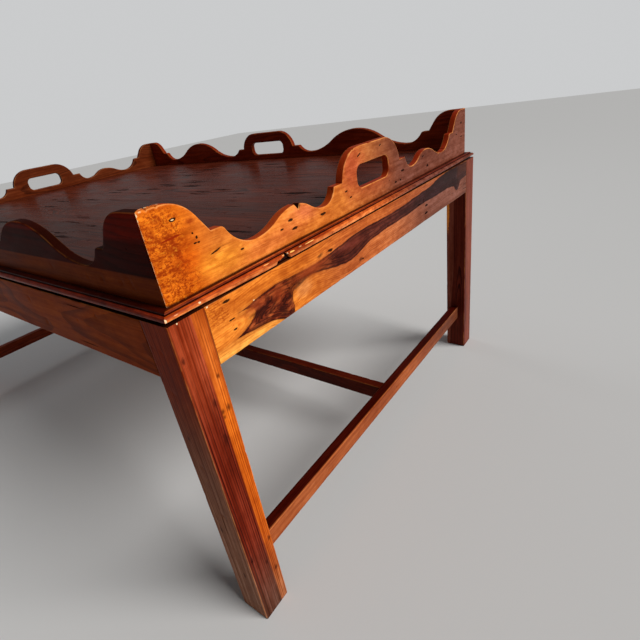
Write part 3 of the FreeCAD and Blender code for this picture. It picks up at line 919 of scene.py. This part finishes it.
def build_leg(corner, number, log):
    node = f"leg_{corner}"
    start, end = low(node), high(node)
    facing = SIDES[corner.split("_")[0]]
    reach, thickness = reach_of(node, facing)
    matrix = board_matrix(UP, facing, Vector(((start.x + end.x) / 2, facing.y * reach, 0)))
    half = (end.x - start.x) / 2
    outline = rectangle(start.z, -half, end.z, half)
    widths = [LEG_ARRIS, BUTT_ARRIS, LEG_ARRIS, FOOT_ARRIS]
    dents = Dents(number, 9, ((0.01, -half + 0.006), (end.z - 0.01, half - 0.006)))
    place = (f"{node}_post", "stand", matrix, "red_pine", log, node)
    slab_piece(place, [outline], [widths], thickness, number, wear=0.8, dents=dents)


def between_legs(facing):
    """Half the clear length between two legs along a side."""
    along = 1 if facing.x else 0
    return low("leg_rear_right")[along]


def build_rail(node, facing, half, slot, number, log, dent_count, finished):
    """A straight rail from leg to leg, without its hidden tenons."""
    reach, thickness = reach_of(node, facing)
    height = high(node).z - low(node).z
    widths = [RAIL_ARRIS, BUTT_ARRIS, RAIL_ARRIS, BUTT_ARRIS]
    dents = Dents(number, dent_count, ((0.01 - half, 0.006), (half - 0.01, height - 0.006)))
    place = (finished, "stand", side_matrix(facing, reach, low(node).z), slot, log, node)
    outline = rectangle(-half, 0, half, height)
    slab_piece(place, [outline], [widths], thickness, number, wear=0.8, dents=dents)


def build_stretchers(logs):
    for number, side in enumerate(("right", "left"), start=31):
        node = f"stretcher_{side}"
        facing = SIDES[side]
        build_rail(node, facing, between_legs(facing), "red_pine", number, logs[node], 10, f"{node}_rail")
    node = "stretcher_centre"
    half = low("stretcher_right").x
    build_rail(node, SIDES["front"], half, "red_pine", 33, logs[node], 12, "stretcher_centre_rail")


def build_corner_block(corner, number, log):
    node = f"corner_block_{corner}"
    start, end = low(node), high(node)
    matrix = board_matrix(Vector((1, 0, 0)), -UP, Vector((0, 0, start.z)))
    outline = node_outlines(node, matrix, -UP)[0]
    place = (f"{node}_wood", "stand", matrix, "plain_pine", log, node)
    slab_piece(place, [outline], [[HIDDEN_ARRIS] * len(outline)], end.z - start.z, number, wear=0.3)


# The tray

def build_floor_board(number, log):
    """A floor board, and below it the lip that the gallery stands on."""
    node = f"floor_board_{number}"
    start, end = low(node), high(node)
    inner = Vector((low("gallery_right").x, low("gallery_rear").y))
    gallery_foot = low("gallery_rear").z
    middle = (start.y + end.y) / 2
    top_start, top_end = max(start.y, -inner.y) - middle, min(end.y, inner.y) - middle
    shell = Shell()
    spread = ((-inner.x + 0.01, top_start + 0.008), (inner.x - 0.01, top_end - 0.008))
    dents = Dents(number + 40, 12, spread)
    top = rectangle(-inner.x, top_start, inner.x, top_end)
    widths = [[SEAM_ARRIS] * 4]
    slab(shell, [top], widths, end.z - gallery_foot, number, wear=0.3, cell=FLOOR_CELL, dents=dents)
    lip = rectangle(-end.x, start.y - middle, end.x, end.y - middle)
    depth, drop = gallery_foot - start.z, gallery_foot - end.z
    slab(shell, [lip], widths, depth, number + 50, wear=0.3, cell=COARSE_CELL, top=drop)
    matrix = board_matrix(Vector((1, 0, 0)), UP, Vector((0, middle, end.z)))
    shell.piece(f"{node}_plank", "tray", matrix, "dark_pine", log, node)


def gallery_widths(outline, half):
    """The arris of each side of a gallery's outline: soft, but crisp at the foot and at the mitred ends."""
    widths = []
    for start, end in zip(outline, np.roll(outline, -1, 0)):
        at_foot = max(start[1], end[1]) < 1e-5
        at_mitre = min(abs(start[0]), abs(end[0])) > half - 1e-5
        widths.append(1e-5 if at_mitre else BUTT_ARRIS if at_foot else GALLERY_ARRIS)
    return widths


def build_gallery(side, number, log):
    node = f"gallery_{side}"
    facing = SIDES[side]
    reach, thickness = reach_of(node, facing)
    matrix = side_matrix(facing, reach, low(node).z)
    outlines = node_outlines(node, matrix, facing)
    half = np.abs(outlines[0][:, 0]).max()
    draw = random.Random(number)
    ranges = ((0.1 - half, half - 0.1), (0.0012, 0.0026), (0.0006, 0.0016))
    nicks = [tuple(draw.uniform(*span) for span in ranges) for _ in range(4)]
    outlines[0] = chipped(outlines[0], CHIPS.get(node, []) + nicks)
    widths = [gallery_widths(o, half) for o in outlines]
    dents = Dents(number, 16, ((-half + 0.03, 0.006), (half - 0.03, 0.022)))
    place = (f"{node}_board", "tray", matrix, "honey_pine", log, node)
    slab_piece(place, outlines, widths, thickness, number, wear=0.7, dents=dents, mitred=True)


def softened(outline, width):
    """The outline with each sharp outward corner cut back by three points of a round."""
    made, share = [], []
    before, after = np.roll(outline, 1, 0), np.roll(outline, -1, 0)
    for last, point, following in zip(before, outline, after):
        one, two = (last - point), (following - point)
        length_one, length_two = np.linalg.norm(one), np.linalg.norm(two)
        one, two = one / length_one, two / length_two
        outward = one[0] * two[1] - one[1] * two[0] < 0
        if outward and one @ two > -0.8:
            cut = min(width, length_one / 3, length_two / 3)
            middle = point + (one + two) * cut * 0.29
            made += [point + one * cut, middle, point + two * cut]
            share += [0.6, 1.0, 0.6]
        else:
            made.append(point)
            share.append(0.0)
    return np.array(made), np.array(share)


def chip_depth(u, v, w):
    """How far the chip in the right moulding's bead is broken in at a point of its outer face."""
    rim = np.interp(u, *zip(*CHIP_RIM)) + 0.0005 * roughly((u, v, w), 0.003, 7)
    broken = min(1.0, max(0.0, (rim - v) / 0.0007))
    return CHIP_DEPTH * broken * max(0.0, 1 + w / 0.005)


def refined(outline, shares, step):
    """The outline with its longer sides divided, and each point's share of wear."""
    made, made_shares = [], []
    for start, end, share in zip(outline, np.roll(outline, -1, 0), shares):
        count = max(1, math.ceil(np.linalg.norm(end - start) / step))
        made += [start + (end - start) * part / count for part in range(count)]
        made_shares += [share] + [0.0] * (count - 1)
    return np.array(made), np.array(made_shares)


def build_moulding(side, number, log):
    """The quirk and bead strip, swept along the side and mitred at the corners."""
    node = f"moulding_{side}"
    facing = SIDES[side]
    reach, width = reach_of(node, facing)
    matrix = side_matrix(facing, reach, low(node).z)
    along = UP.cross(facing)
    half = abs(along.dot(high(node)))
    end_facing = (along - facing).normalized()
    outline = node_outlines(node, matrix, end_facing, axes=(2, 1))[0]
    area = sum(a[0] * b[1] - a[1] * b[0] for a, b in zip(outline, np.roll(outline, -1, 0)))
    if area < 0:
        outline = outline[::-1]
    profile, shares = refined(*softened(outline, PROFILE_STEP), PROFILE_STEP)
    shares = np.where(profile[:, 0] > -0.004, shares, 0.0)
    chip_columns = np.linspace(CHIP_RIM[0][0], CHIP_RIM[-1][0], 40)
    even_columns = np.linspace(width - half, half - width, round(2 * half / CELL))
    columns = np.sort(np.concatenate([[-half], even_columns, chip_columns, [half]]))
    points, faces, worn = [], [], []
    foot, bead_top = profile[:, 1].min(), profile[:, 1].max() - 0.002
    for column in columns:
        for (w, v), share in zip(profile, shares):
            u = math.copysign(min(abs(column), half + w), column) if abs(column) == half else column
            rub = 0.0004 * max(0.0, 0.4 + roughly((u, v, w), 0.03, number)) * share
            if node == "moulding_right":
                rub += chip_depth(u, v, w)
            sag = np.interp(u / half, *zip(*SAGS[side])) * max(0.0, (bead_top - v) / (bead_top - foot))
            points.append((u, v - sag, w - rub))
            worn.append(share)
    count = len(profile)
    for column in range(len(columns) - 1):
        for k in range(count):
            n = (k + 1) % count
            here, there = column * count, (column + 1) * count
            faces.append((here + k, there + k, there + n, here + n))
    faces.append(tuple(range(count)))
    faces.append(tuple(reversed(range((len(columns) - 1) * count, len(columns) * count))))
    shell = Shell()
    shell.add(points, faces, worn)
    shell.piece(f"{node}_strip", "tray", matrix, "moulding_pine", log, node)


def circle(u, v, radius, count=20):
    """A clockwise circle, for a hole."""
    turns = [-math.tau * k / count for k in range(count)]
    return np.array([(u + radius * math.cos(t), v + radius * math.sin(t)) for t in turns])


def build_batten(name, number, log, screw_places):
    node = f"batten_{name}"
    start, end = low(node), high(node)
    middle = (start.x + end.x) / 2
    matrix = board_matrix(Vector((0, 1, 0)), -UP, Vector((middle, 0, start.z)))
    outline = rectangle(start.y, start.x - middle, end.y, end.x - middle)
    holes = [circle(y, 0, SCREW_HOLE_RADIUS) for y in screw_places]
    widths = [[HIDDEN_ARRIS] * 4] + [[BUTT_ARRIS] * len(h) for h in holes]
    place = (f"{node}_wood", "tray", matrix, "plain_pine", log, node)
    slab_piece(place, [outline, *holes], widths, end.z - start.z, number, wear=0.3, cell=COARSE_CELL)


# The camera and the light

def camera_turn(azimuth, pitch, roll):
    """The camera's rotation from the way it faces, how far it looks up, and its roll, in degrees."""
    azimuth, pitch, roll = (math.radians(a) for a in (azimuth, pitch, roll))
    level = Vector((math.cos(azimuth), math.sin(azimuth), 0)) * math.cos(pitch)
    forward = level + UP * math.sin(pitch)
    across = forward.cross(UP).normalized()
    up = across.cross(forward) * math.cos(roll) + across * math.sin(roll)
    return Matrix((forward.cross(up), up, -forward)).transposed()


def build_camera():
    data = bpy.data.cameras.new("camera")
    data.sensor_width = 36
    data.lens = CAMERA_LENS
    data.clip_start = 0.01
    made = linked("camera", data)
    made.matrix_world = Matrix.Translation(CAMERA_PLACE) @ camera_turn(*CAMERA_LOOK).to_4x4()
    bpy.context.scene.camera = made


def build_light(name, kind, direction, aimed, energy, **settings):
    """A light whose own axis named by aimed points along the direction. It shines along its -Z."""
    data = bpy.data.lights.new(name, kind)
    data.energy = energy
    for key, value in settings.items():
        setattr(data, key, value)
    made = linked(name, data)
    made.rotation_mode = "QUATERNION"
    made.rotation_quaternion = direction.to_track_quat(aimed, "Y")
    return made


def build_world():
    """A pale room: dim as a light, pale where it is seen, and a shade darker in a mirror or glass."""
    world = bpy.data.worlds.new("studio")
    world.use_nodes = True
    bpy.context.scene.world = world
    tree = world.node_tree
    background = tree.nodes["Background"]
    background.inputs["Color"].default_value = (0.90, 0.91, 0.92, 1)
    path = tree.nodes.new("ShaderNodeLightPath")
    strength = WORLD_LIGHT
    seen = {"Camera": WORLD_SHOWN, "Glossy": WORLD_MIRRORED, "Transmission": WORLD_SHOWN}
    for kind, shown in seen.items():
        chosen = tree.nodes.new("ShaderNodeMapRange")
        if isinstance(strength, float):
            chosen.inputs["To Min"].default_value = strength
        else:
            tree.links.new(strength, chosen.inputs["To Min"])
        chosen.inputs["To Max"].default_value = shown
        tree.links.new(path.outputs[f"Is {kind} Ray"], chosen.inputs["Value"])
        strength = chosen.outputs[0]
    tree.links.new(strength, background.inputs["Strength"])


def build_ground():
    mesh = bpy.data.meshes.new("ground")
    corners = [(x * GROUND_REACH, y * GROUND_REACH, 0) for x, y in ((-1, -1), (1, -1), (1, 1), (-1, 1))]
    mesh.from_pydata(corners, [], [(0, 1, 2, 3)])
    ground = linked("ground", mesh)
    make = Shader("pale_ground")
    make.surface.inputs["Base Color"].default_value = (0.62, 0.63, 0.64, 1)
    make.surface.inputs["Roughness"].default_value = 0.7
    mesh.materials.append(make.material)


# How the boards differ. Board explains the names and the marks.

# Marks on the right gallery
GALLERY_SPOTS = [
    (-203.6, 26.6, 4.2, 1.7), (-197.6, 15.2, 5.2, 1.6), (-221, 20.4, 2.8, 1.1),
    (-138, 15.8, 5.6, 1.8), (-286.8, 20, 2.8, 1.1), (-321.4, 30, 6.4, 0.9, 0.2),
    (-343, 45.2, 2, 0.9), (-338.5, 44.8, 1.6, 0.9), (-339.5, 50, 1.2, 1.4), (-343, 55, 1, 0.9),
    (-360, 72.5, 3.6, 1.6), (-79, 30.4, 3.6, 1.1), (-69, 20, 2.8, 1.1), (-38, 71, 5, 1.1, 0.35),
    (68, 10.4, 3.4, 1.6), (85, 10.4, 2.8, 1.3), (94.5, 23.6, 5.6, 1.4), (195.5, 12, 4.8, 2),
    (176, 31.5, 3.4, 1, 0.3), (367, 63, 4, 1.9), (369, 36.7, 6, 1), (133, 26.2, 3, 1.2),
    (24, 74.5, 3.4, 1, 0.2), (342, 44, 3.4, 1), (-185, 40, 5, 6, 0, -4),
]
GALLERY_SMUDGES = [
    (-366, 50, 3.2, 6), (-362.5, 40, 3, 7), (-358, 30, 3.4, 5), (-369, 57.5, 11, 0.5, 0.04),
    (-342, 66, 5, 2.8), (-376, 77, 5, 2.8), (-386, 64, 4, 5),
]

# The right apron
APRON_HEART_LINE = [
    (-400, 15, 11, 100), (-335, 15, 15, 100), (-326, 14, 40.5, 100), (-300, 11.5, 44, 100),
    (-280, 8.5, 46, 100), (-265, 3, 47.5, 100), (-247, -6, 46, 100), (-240, -3, 45, 90),
    (-234, 27, 44.5, 80), (-210, 33, 45, 75), (-190, 33.5, 44, 75), (-170, 29, 44, 90),
    (-140, 23, 47, 100), (-122, 20, 48.5, 100), (-106, 19, 50, 100), (-92, 21, 51, 100),
    (-50, 29, 52, 100), (50, 32, 50, 100), (156, 33.5, 55.5, 100), (200, 33.5, 61, 100),
    (262, 33.5, 68, 100), (290, 30, 70, 100), (303, 19, 70, 100), (314, 19, 70, 90),
    (326, 34, 70, 90), (400, 38, 70, 80),
]
APRON_SPOTS = [
    (-336, 60, 4.6, 1.5), (-335, 38.4, 4.2, 0.9), (-333.5, 26.5, 3, 1.1),
    (-152, 49, 5.6, 1.9, -0.1), (122, 36, 6, 1.2), (153.7, 27, 6, 1.8), (152.6, 13.8, 6, 2),
    (-75, 9, 2.6, 1),
]
APRON_SMUDGES = [
    (-300, 13.6, 22, 2.2, -0.08), (-296, 30, 15, 2.4, 0.1), (-275, 21, 9, 1.6, 0.3),
    (-175, 50, 6, 2.2, 0.12), (-257, 9, 8, 8), (-261, 39, 5, 3), (-81, 10.6, 5, 2.6),
]

# The near leg: knots on its two outer faces, its foot, its head and the washes between. Its paler
# foot is painted light from the floor, and its front face's washes are painted shade and floor light
LEG_SPOTS = [
    (385, -22, 3.2, 1.8, 0, -36.6), (343, -22, 3.4, 2.2, 0, -30), (343, -22, 4.4, 2.6, 0, -38),
    (335.5, -22, 2.6, 1.6, 0, -30), (358.6, -22, 6, 2.4, 0, -23.7), (310, -22, 9, 3.4, 0, -23.7),
    (125.7, -22, 4, 2.2, 0, -40.3), (121.4, -22, 6, 2.2, 0, -6.5), (93, -22, 3.6, 1.8, 0, -26.2),
    (67, -22, 4.6, 2.4, 0, -37.8), (421.4, -22, 4, 2, 0, -5), (316, 10, 4, 1.6), (165, 12, 6, 2),
    (85, -4, 5, 1.8),
]

# Painted shade: early wood and late wood darkened where the light falls off towards a side's far
# end, with a halfway step; and the stretcher's heartwood
FALLOFF_SHADE = (rgb(110, 60, 50), rgb(46, 22, 20))
APRON_FALLOFF_SHADE = (rgb(126, 76, 62), rgb(48, 26, 26))
HALFWAY_FALLOFF_SHADE = (rgb(202, 108, 56), rgb(92, 38, 26))
STRETCHER_HEART = (rgb(68, 13, 4), rgb(40, 7, 3))

# Painted light: the leg grows paler and greyer towards its foot, lit from the floor
FOOT_FLOOR_LIGHT = (0.17, 0.0, rgb(156, 96, 64), rgb(94, 62, 48), 0.85)
HEAD = (0.32, 0.42, rgb(214, 108, 42), rgb(180, 76, 42), 0.75)
LEG_WASHES = [
    ([(2, -0.0404, -0.0424), (0, 0.24, 0.38)], rgb(144, 52, 18), 0.75),
    # On the front face: painted shade, darker red towards the head; then painted floor light, paler and
    # greyer towards the foot
    ([(2, -0.0016, -0.0005), (0, 0.20, 0.42)], rgb(142, 48, 8), 0.9),
    ([(2, -0.0016, -0.0005), (0, 0.42, 0.20)], rgb(168, 112, 82), 0.85),
]
leg_logs = {
    "front_right": {
        "pith": (0.050, 0.050), "tilt": (0.0, 0.0098), "heart": 0.1084, "bend": 0.006, "ripple": 0.0015,
        "smudges": LEG_SPOTS, "ring": 0.0021, "figure": 1.1, "streak": 0.42, "lines": 0.34,
        "index": 1.08, "washes": LEG_WASHES, "fades": [FOOT_FLOOR_LIGHT, HEAD],
        # A painted glint on the top edge
        "pale_spots": [(459, -22, 0.8, 0.8, 0, -11)],
    },
    "rear_right": {
        # Painted shade: the far leg takes darker, shaded colours
        "pith": (0.005, -0.050), "heart": 0.0190, "sap": FAR_LEG_SHADED_SAP, "dark": FAR_LEG_SHADED_HEART,
        "tinted_spots": [((354, -19.5, 50, 3.6, 0, -44), rgb(240, 140, 50))],
    },
    "front_left": {"pith": (0.020, -0.010), "heart": 0.030},
    "rear_left": {"pith": (0.010, 0.012), "heart": 0.040},
}
gallery_logs = {
    "right": {
        "sap": GALLERY_SAP, "figure": 0.4, "ring": 0.0022, "mottle": 0.36, "streak": 0.25, "crinkle": 0.3,
        "pith": (0.05, -0.12), "tilt": (0.03, 0.0), "spots": GALLERY_SPOTS, "smudges": GALLERY_SMUDGES,
        "burls": [(-380, 12, 36, 1.0), (-376, 62, 30, 1.0)],
        "blushes": [
            ((-172, 30, 24, 12, -0.2), rgb(196, 92, 60), 0.65),
            ((-236, 12, 50, 10), rgb(214, 108, 56), 0.45),
            ((-355, 30, 14, 20), rgb(214, 84, 4), 0.6),
            ((-316, 18, 30, 14), rgb(250, 158, 44), 0.6),
            ((-368, 46, 5, 24), rgb(150, 40, 2), 0.45),
            ((-200, 24, 30, 12), rgb(206, 96, 52), 0.35),
            ((-60, 58, 34, 34), rgb(176, 74, 40), 0.9),
            ((-10, 30, 60, 26), rgb(172, 76, 38), 0.6),
            ((-104, 18, 20, 14), rgb(244, 150, 62), 0.5),
        ],
        # Bare wood chipped on the crest, and a painted glint in the hole at -360
        "pale_spots": [
            (-360, 72.5, 1.8, 0.6), (-365.6, 86.3, 1, 2.2, 0, -8),
            (-377.2, 87.3, 1.4, 2, 0, -9), (-382.6, 86.8, 1.6, 1.6, 0, -8),
            (-392.5, 85, 1.4, 1.8), (-393, 80.8, 1.2, 1.8, 0, -0.5),
        ],
        "tinted_spots": [((-366, 57.5, 11.2, 1, 0.056), rgb(146, 38, 3))],
        # Painted shade: darker towards the far end, where the light falls off
        "fades": [(-0.15, 0.10, *FALLOFF_SHADE, 0.94)], "cut": rgb(150, 38, 2),
        "washes": [
            # Painted light: brighter orange towards the near end. At the foot: a dark joint line, deepened
            # as painted shade
            ([(0, -0.31, -0.36)], rgb(232, 112, 10), 0.85), ([(1, 0.0016, 0.0006)], rgb(90, 22, 4), 0.7),
        ],
        "chips": (-0.362, -0.385, 0.9), "dark": (rgb(150, 44, 6), rgb(150, 44, 6)),
        # The strong rub paints the worn arrises lighter, also as a highlight
        "stained": 0.85, "bare_from": -0.374, "rub": 0.75,
    },
    # Painted shade: the front gallery's wood is coloured much darker, as on the shaded side
    "front": {
        "heart": 0.4, "dark": (rgb(94, 14, 2), rgb(50, 6, 1)), "stained": 0.9, "cut": rgb(34, 9, 4),
        "index": 1.05, "rub": 0.1,
        "washes": [
            ([(1, 0.066, 0.058)], rgb(48, 7, 2), 0.85), ([(1, 0.0290, 0.0270)], rgb(116, 48, 10), 0.9),
        ],
    },
    # Painted shade: the rear gallery's wood is coloured darker, as on the shaded side
    "rear": {
        "heart": 0.4, "dark": (rgb(146, 48, 18), rgb(88, 24, 8)), "stained": 0.6, "cut": rgb(112, 38, 10),
    },
    # Painted shade: the left gallery's wood is coloured darker, as on the shaded side
    "left": {
        "heart": 0.4, "dark": (rgb(96, 40, 16), rgb(48, 16, 6)), "holes": 0.9, "stained": 0.7,
        "cut": rgb(96, 28, 8),
    },
}
apron_logs = {
    # Painted shade: the front apron's wood is coloured darker, as on the shaded side
    "front": {"dark": (rgb(140, 58, 12), rgb(80, 25, 4)), "index": 1.05},
    "right": {
        "heart_line": APRON_HEART_LINE, "dark": APRON_HEART, "spots": APRON_SPOTS, "smudges": APRON_SMUDGES,
        "knots": [(-288, 23, 4)], "figure": 1.1, "contours": (0.0062, 0.0112),
        # Painted shade: darker in two steps towards the far end, where the light falls off
        "fades": [(-0.24, -0.10, *HALFWAY_FALLOFF_SHADE, 0.9), (-0.06, 0.19, *APRON_FALLOFF_SHADE, 0.96)],
        "washes": [
            ([(1, 0.036, 0.056)], rgb(214, 104, 22), 0.35),
            ([(1, 0.016, 0.004), (0, -0.24, -0.30)], rgb(248, 172, 76), 0.6),
        ],
        "burls": [(-352, 54, 18, 0.6)], "crinkle": 0.24, "mottle": 0.34,
        "blushes": [
            ((-262, 36, 10, 8), rgb(158, 66, 30), 0.7),
            ((-300, 37, 18, 5, 0.15), rgb(158, 66, 30), 0.7),
            ((-100, 40, 30, 6), rgb(132, 58, 44), 0.6),
            ((-215, 22, 16, 10), rgb(236, 160, 96), 0.5),
            ((-200, 39.5, 34, 5.6), rgb(166, 72, 34), 0.8),
        ],
        "inlets": [(-347, 25.5, 46, 13, 0.16), (-233, 16, 6, 12)],
        # Painted glints
        "pale_spots": [(-300, 44.7, 1.2, 0.6), (-360, 64.6, 1.4, 0.9)],
        # Painted shade on the top face, seen in the gap under the tray
        "top_colour": rgb(66, 26, 13),
    },
}

# The mouldings: the dark lines in their quirks and by the gallery's foot, dark joints deepened as
# painted shade, and the looks of each side
QUIRK_SHADE_LINES = [
    ([(2, -0.0082, -0.0096)], rgb(60, 9, 1), 1.0),
    ([(2, -0.0034, -0.0042), (1, 0.0062, 0.0054)], rgb(56, 6, 1), 1.0),
]
MOULDING_PLAIN = {"sap": (rgb(160, 66, 26), rgb(104, 34, 10)), "washes": QUIRK_SHADE_LINES}
moulding_logs = {
    "front": {
        # Painted shade: the front moulding's wood is coloured darker, as on the shaded side
        "sap": (rgb(120, 34, 8), rgb(76, 16, 4)),
        "washes": [([(2, -0.0042, -0.0048)], rgb(58, 10, 2), 1.0), *QUIRK_SHADE_LINES],
    },
    "right": {
        # The fade is painted shade where the light falls off towards the far end
        "sap": (rgb(222, 112, 44), rgb(150, 54, 14)), "fades": [(-0.04, 0.14, *FALLOFF_SHADE, 0.92)],
        "spots": [(-238.5, 1.6, 11, 3.6, 0, -5.8)],
        # Painted glints
        "pale_spots": [
            (-405.6, 2.2, 1.1, 2, 0, -0.3), (-366.2, 2.4, 1.4, 1, 0, -0.4), (-232.6, 3, 0.9, 1.4, 0, -1.6),
        ],
        # The first two are the chip's broken wood; the bright ones are painted glints on the bead
        "tinted_spots": [
            ((-252, 0.6, 2.4, 1.4, 0, -4.6), rgb(170, 148, 142)),
            ((-246, 2.2, 1.8, 0.9, 0, -4.6), rgb(120, 92, 88)),
            ((-240.5, 3.6, 3, 0.6, 0, -1.6), rgb(252, 180, 110)),
            ((-224.5, 3, 4.2, 1, 0, -1.2), rgb(252, 188, 96)),
            ((-209.5, 3.4, 5, 0.7, 0, -1.8), rgb(250, 196, 130)),
            ((-190, 3, 10, 0.7, 0, -1.2), rgb(250, 186, 104)),
            ((-393.8, 2.6, 3.4, 0.8, 0, -0.8), rgb(240, 160, 108)),
            ((-269, 3.4, 6, 0.8, 0, -1.8), rgb(250, 168, 92)),
        ],
        "washes": [
            ([(1, 0.0022, 0.0036), (0, 0.10, -0.20)], rgb(166, 56, 8), 0.8),
            # Painted highlight low on the bead, towards the near end
            ([(1, 0.0018, 0.0006), (0, 0.06, -0.16)], rgb(240, 150, 90), 0.5),
            # Painted shade: the bead's lower part darker towards the far end
            ([(1, 0.0024, 0.0006), (0, -0.02, 0.18)], rgb(112, 62, 52), 0.7),
            ([(2, -0.0042, -0.0048)], rgb(200, 96, 42), 1.0),
            # Painted shade: the flat darker towards the far end
            ([(2, -0.0042, -0.0048), (0, -0.06, 0.20)], rgb(98, 50, 40), 0.9),
            ([(2, -0.0042, -0.0048), (2, -0.0070, -0.0060)], rgb(110, 26, 4), 0.85),
            *QUIRK_SHADE_LINES,
        ],
    },
    "rear": MOULDING_PLAIN,
    "left": MOULDING_PLAIN,
}
stretcher_logs = {
    "stretcher_right": {
        "pith": (0.014, -0.25), "heart": 0.2486, "bend": 0.002, "ripple": 0.004, "lines": 0.2,
        "sap": (rgb(172, 90, 46), rgb(128, 58, 28)), "dark": STRETCHER_HEART,
        "fades": [(0.05, 0.34, rgb(118, 68, 48), STRETCHER_HEART[0], 0.9)],
    },
    "stretcher_left": {"heart": 0.4, "dark": (rgb(134, 54, 30), rgb(64, 22, 14))},
    "stretcher_centre": {"heart": 0.4, "dark": (rgb(86, 24, 8), rgb(48, 12, 4))},
}
floor_look = {
    "heart": 0.4, "dark": FLOORWOOD, "checks": 1.2, "coarse": 1.6, "rub": 0.0, "rough": 0.24,
    "index": 1.17, "figure": 0.8, "streak": 0.45, "cracks": 1.0,
}
front_floor = {1: (rgb(68, 24, 10), rgb(34, 10, 4)), 2: (rgb(82, 32, 17), rgb(38, 12, 6))}

for number, corner in enumerate(CORNERS, start=1):
    given = {"sap": LEG_SAP, "dark": LEG_HEART, "figure": 1.0, "ring": 0.0028, **leg_logs[corner]}
    log = Board(f"leg_pine_{corner}", number + 2, top_axis=0, **given)
    build_leg(corner, number, log.material)
    x_sign, y_sign = CORNERS[corner]
    turn = -x_sign * y_sign * math.pi / 4
    log = Board(f"block_pine_{corner}", number + 14, sap=PLAINWOOD, rough=0.6, turn=turn)
    build_corner_block(corner, number + 10, log.material)
for number, side in enumerate(SIDES, start=21):
    facing = SIDES[side]
    half = between_legs(facing)
    log = Board(f"apron_pine_{side}", number, top_axis=1, heart=0.4, **apron_logs.get(side, {}))
    node = f"apron_{side}"
    build_rail(node, facing, half, "honey_pine", number, log.material, 14, f"{node}_board")
    log = Board(f"gallery_pine_{side}", number + 7, **gallery_logs[side])
    build_gallery(side, number + 30, log.material)
    given = {"ring": 0.002, "rub": 0.4, "crinkle": 0.5, "mottle": 0.4, "streak": 0.45, "index": 1.2}
    log = Board(f"moulding_pine_{side}", number + 12, **given, **moulding_logs[side])
    build_moulding(side, number + 60, log.material)
build_stretchers({
    node: Board(f"{node}_pine", seed, **given).material
    for seed, (node, given) in enumerate(stretcher_logs.items(), start=61)
})
for number in range(1, 6):
    given = {**floor_look, "pith": (0.02 - 0.01 * number, -0.05 - 0.01 * number)}
    given["dark"] = front_floor.get(number, FLOORWOOD)
    log = Board(f"floor_pine_{number}", number + 70, **given)
    build_floor_board(number, log.material)
plain = Board("batten_pine", 81, sap=PLAINWOOD, rough=0.6).material
middles = [(low(f"floor_board_{n}").y + high(f"floor_board_{n}").y) / 2 for n in range(1, 6)]
for number, name in enumerate(("left", "centre", "right"), start=91):
    build_batten(name, number, plain, middles)
metal = steel()
for node in ("batten_screws", "corner_block_screws"):
    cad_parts[node].data.materials.clear()
    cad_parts[node].data.materials.append(metal)

build_ground()
build_world()
towards = Vector((1.0, 0.22, 0.75))
build_light("key", "SUN", towards, "Z", 3.4, angle=math.radians(35), color=(1.0, 0.97, 0.93))
lamp = build_light("left", "AREA", LAMP_TARGET - LAMP_PLACE, "-Z", 14, shape="SQUARE", size=1.6)
lamp.location = LAMP_PLACE
lamp.visible_camera = lamp.visible_glossy = False
build_camera()
bpy.context.scene.view_settings.view_transform = "Standard"
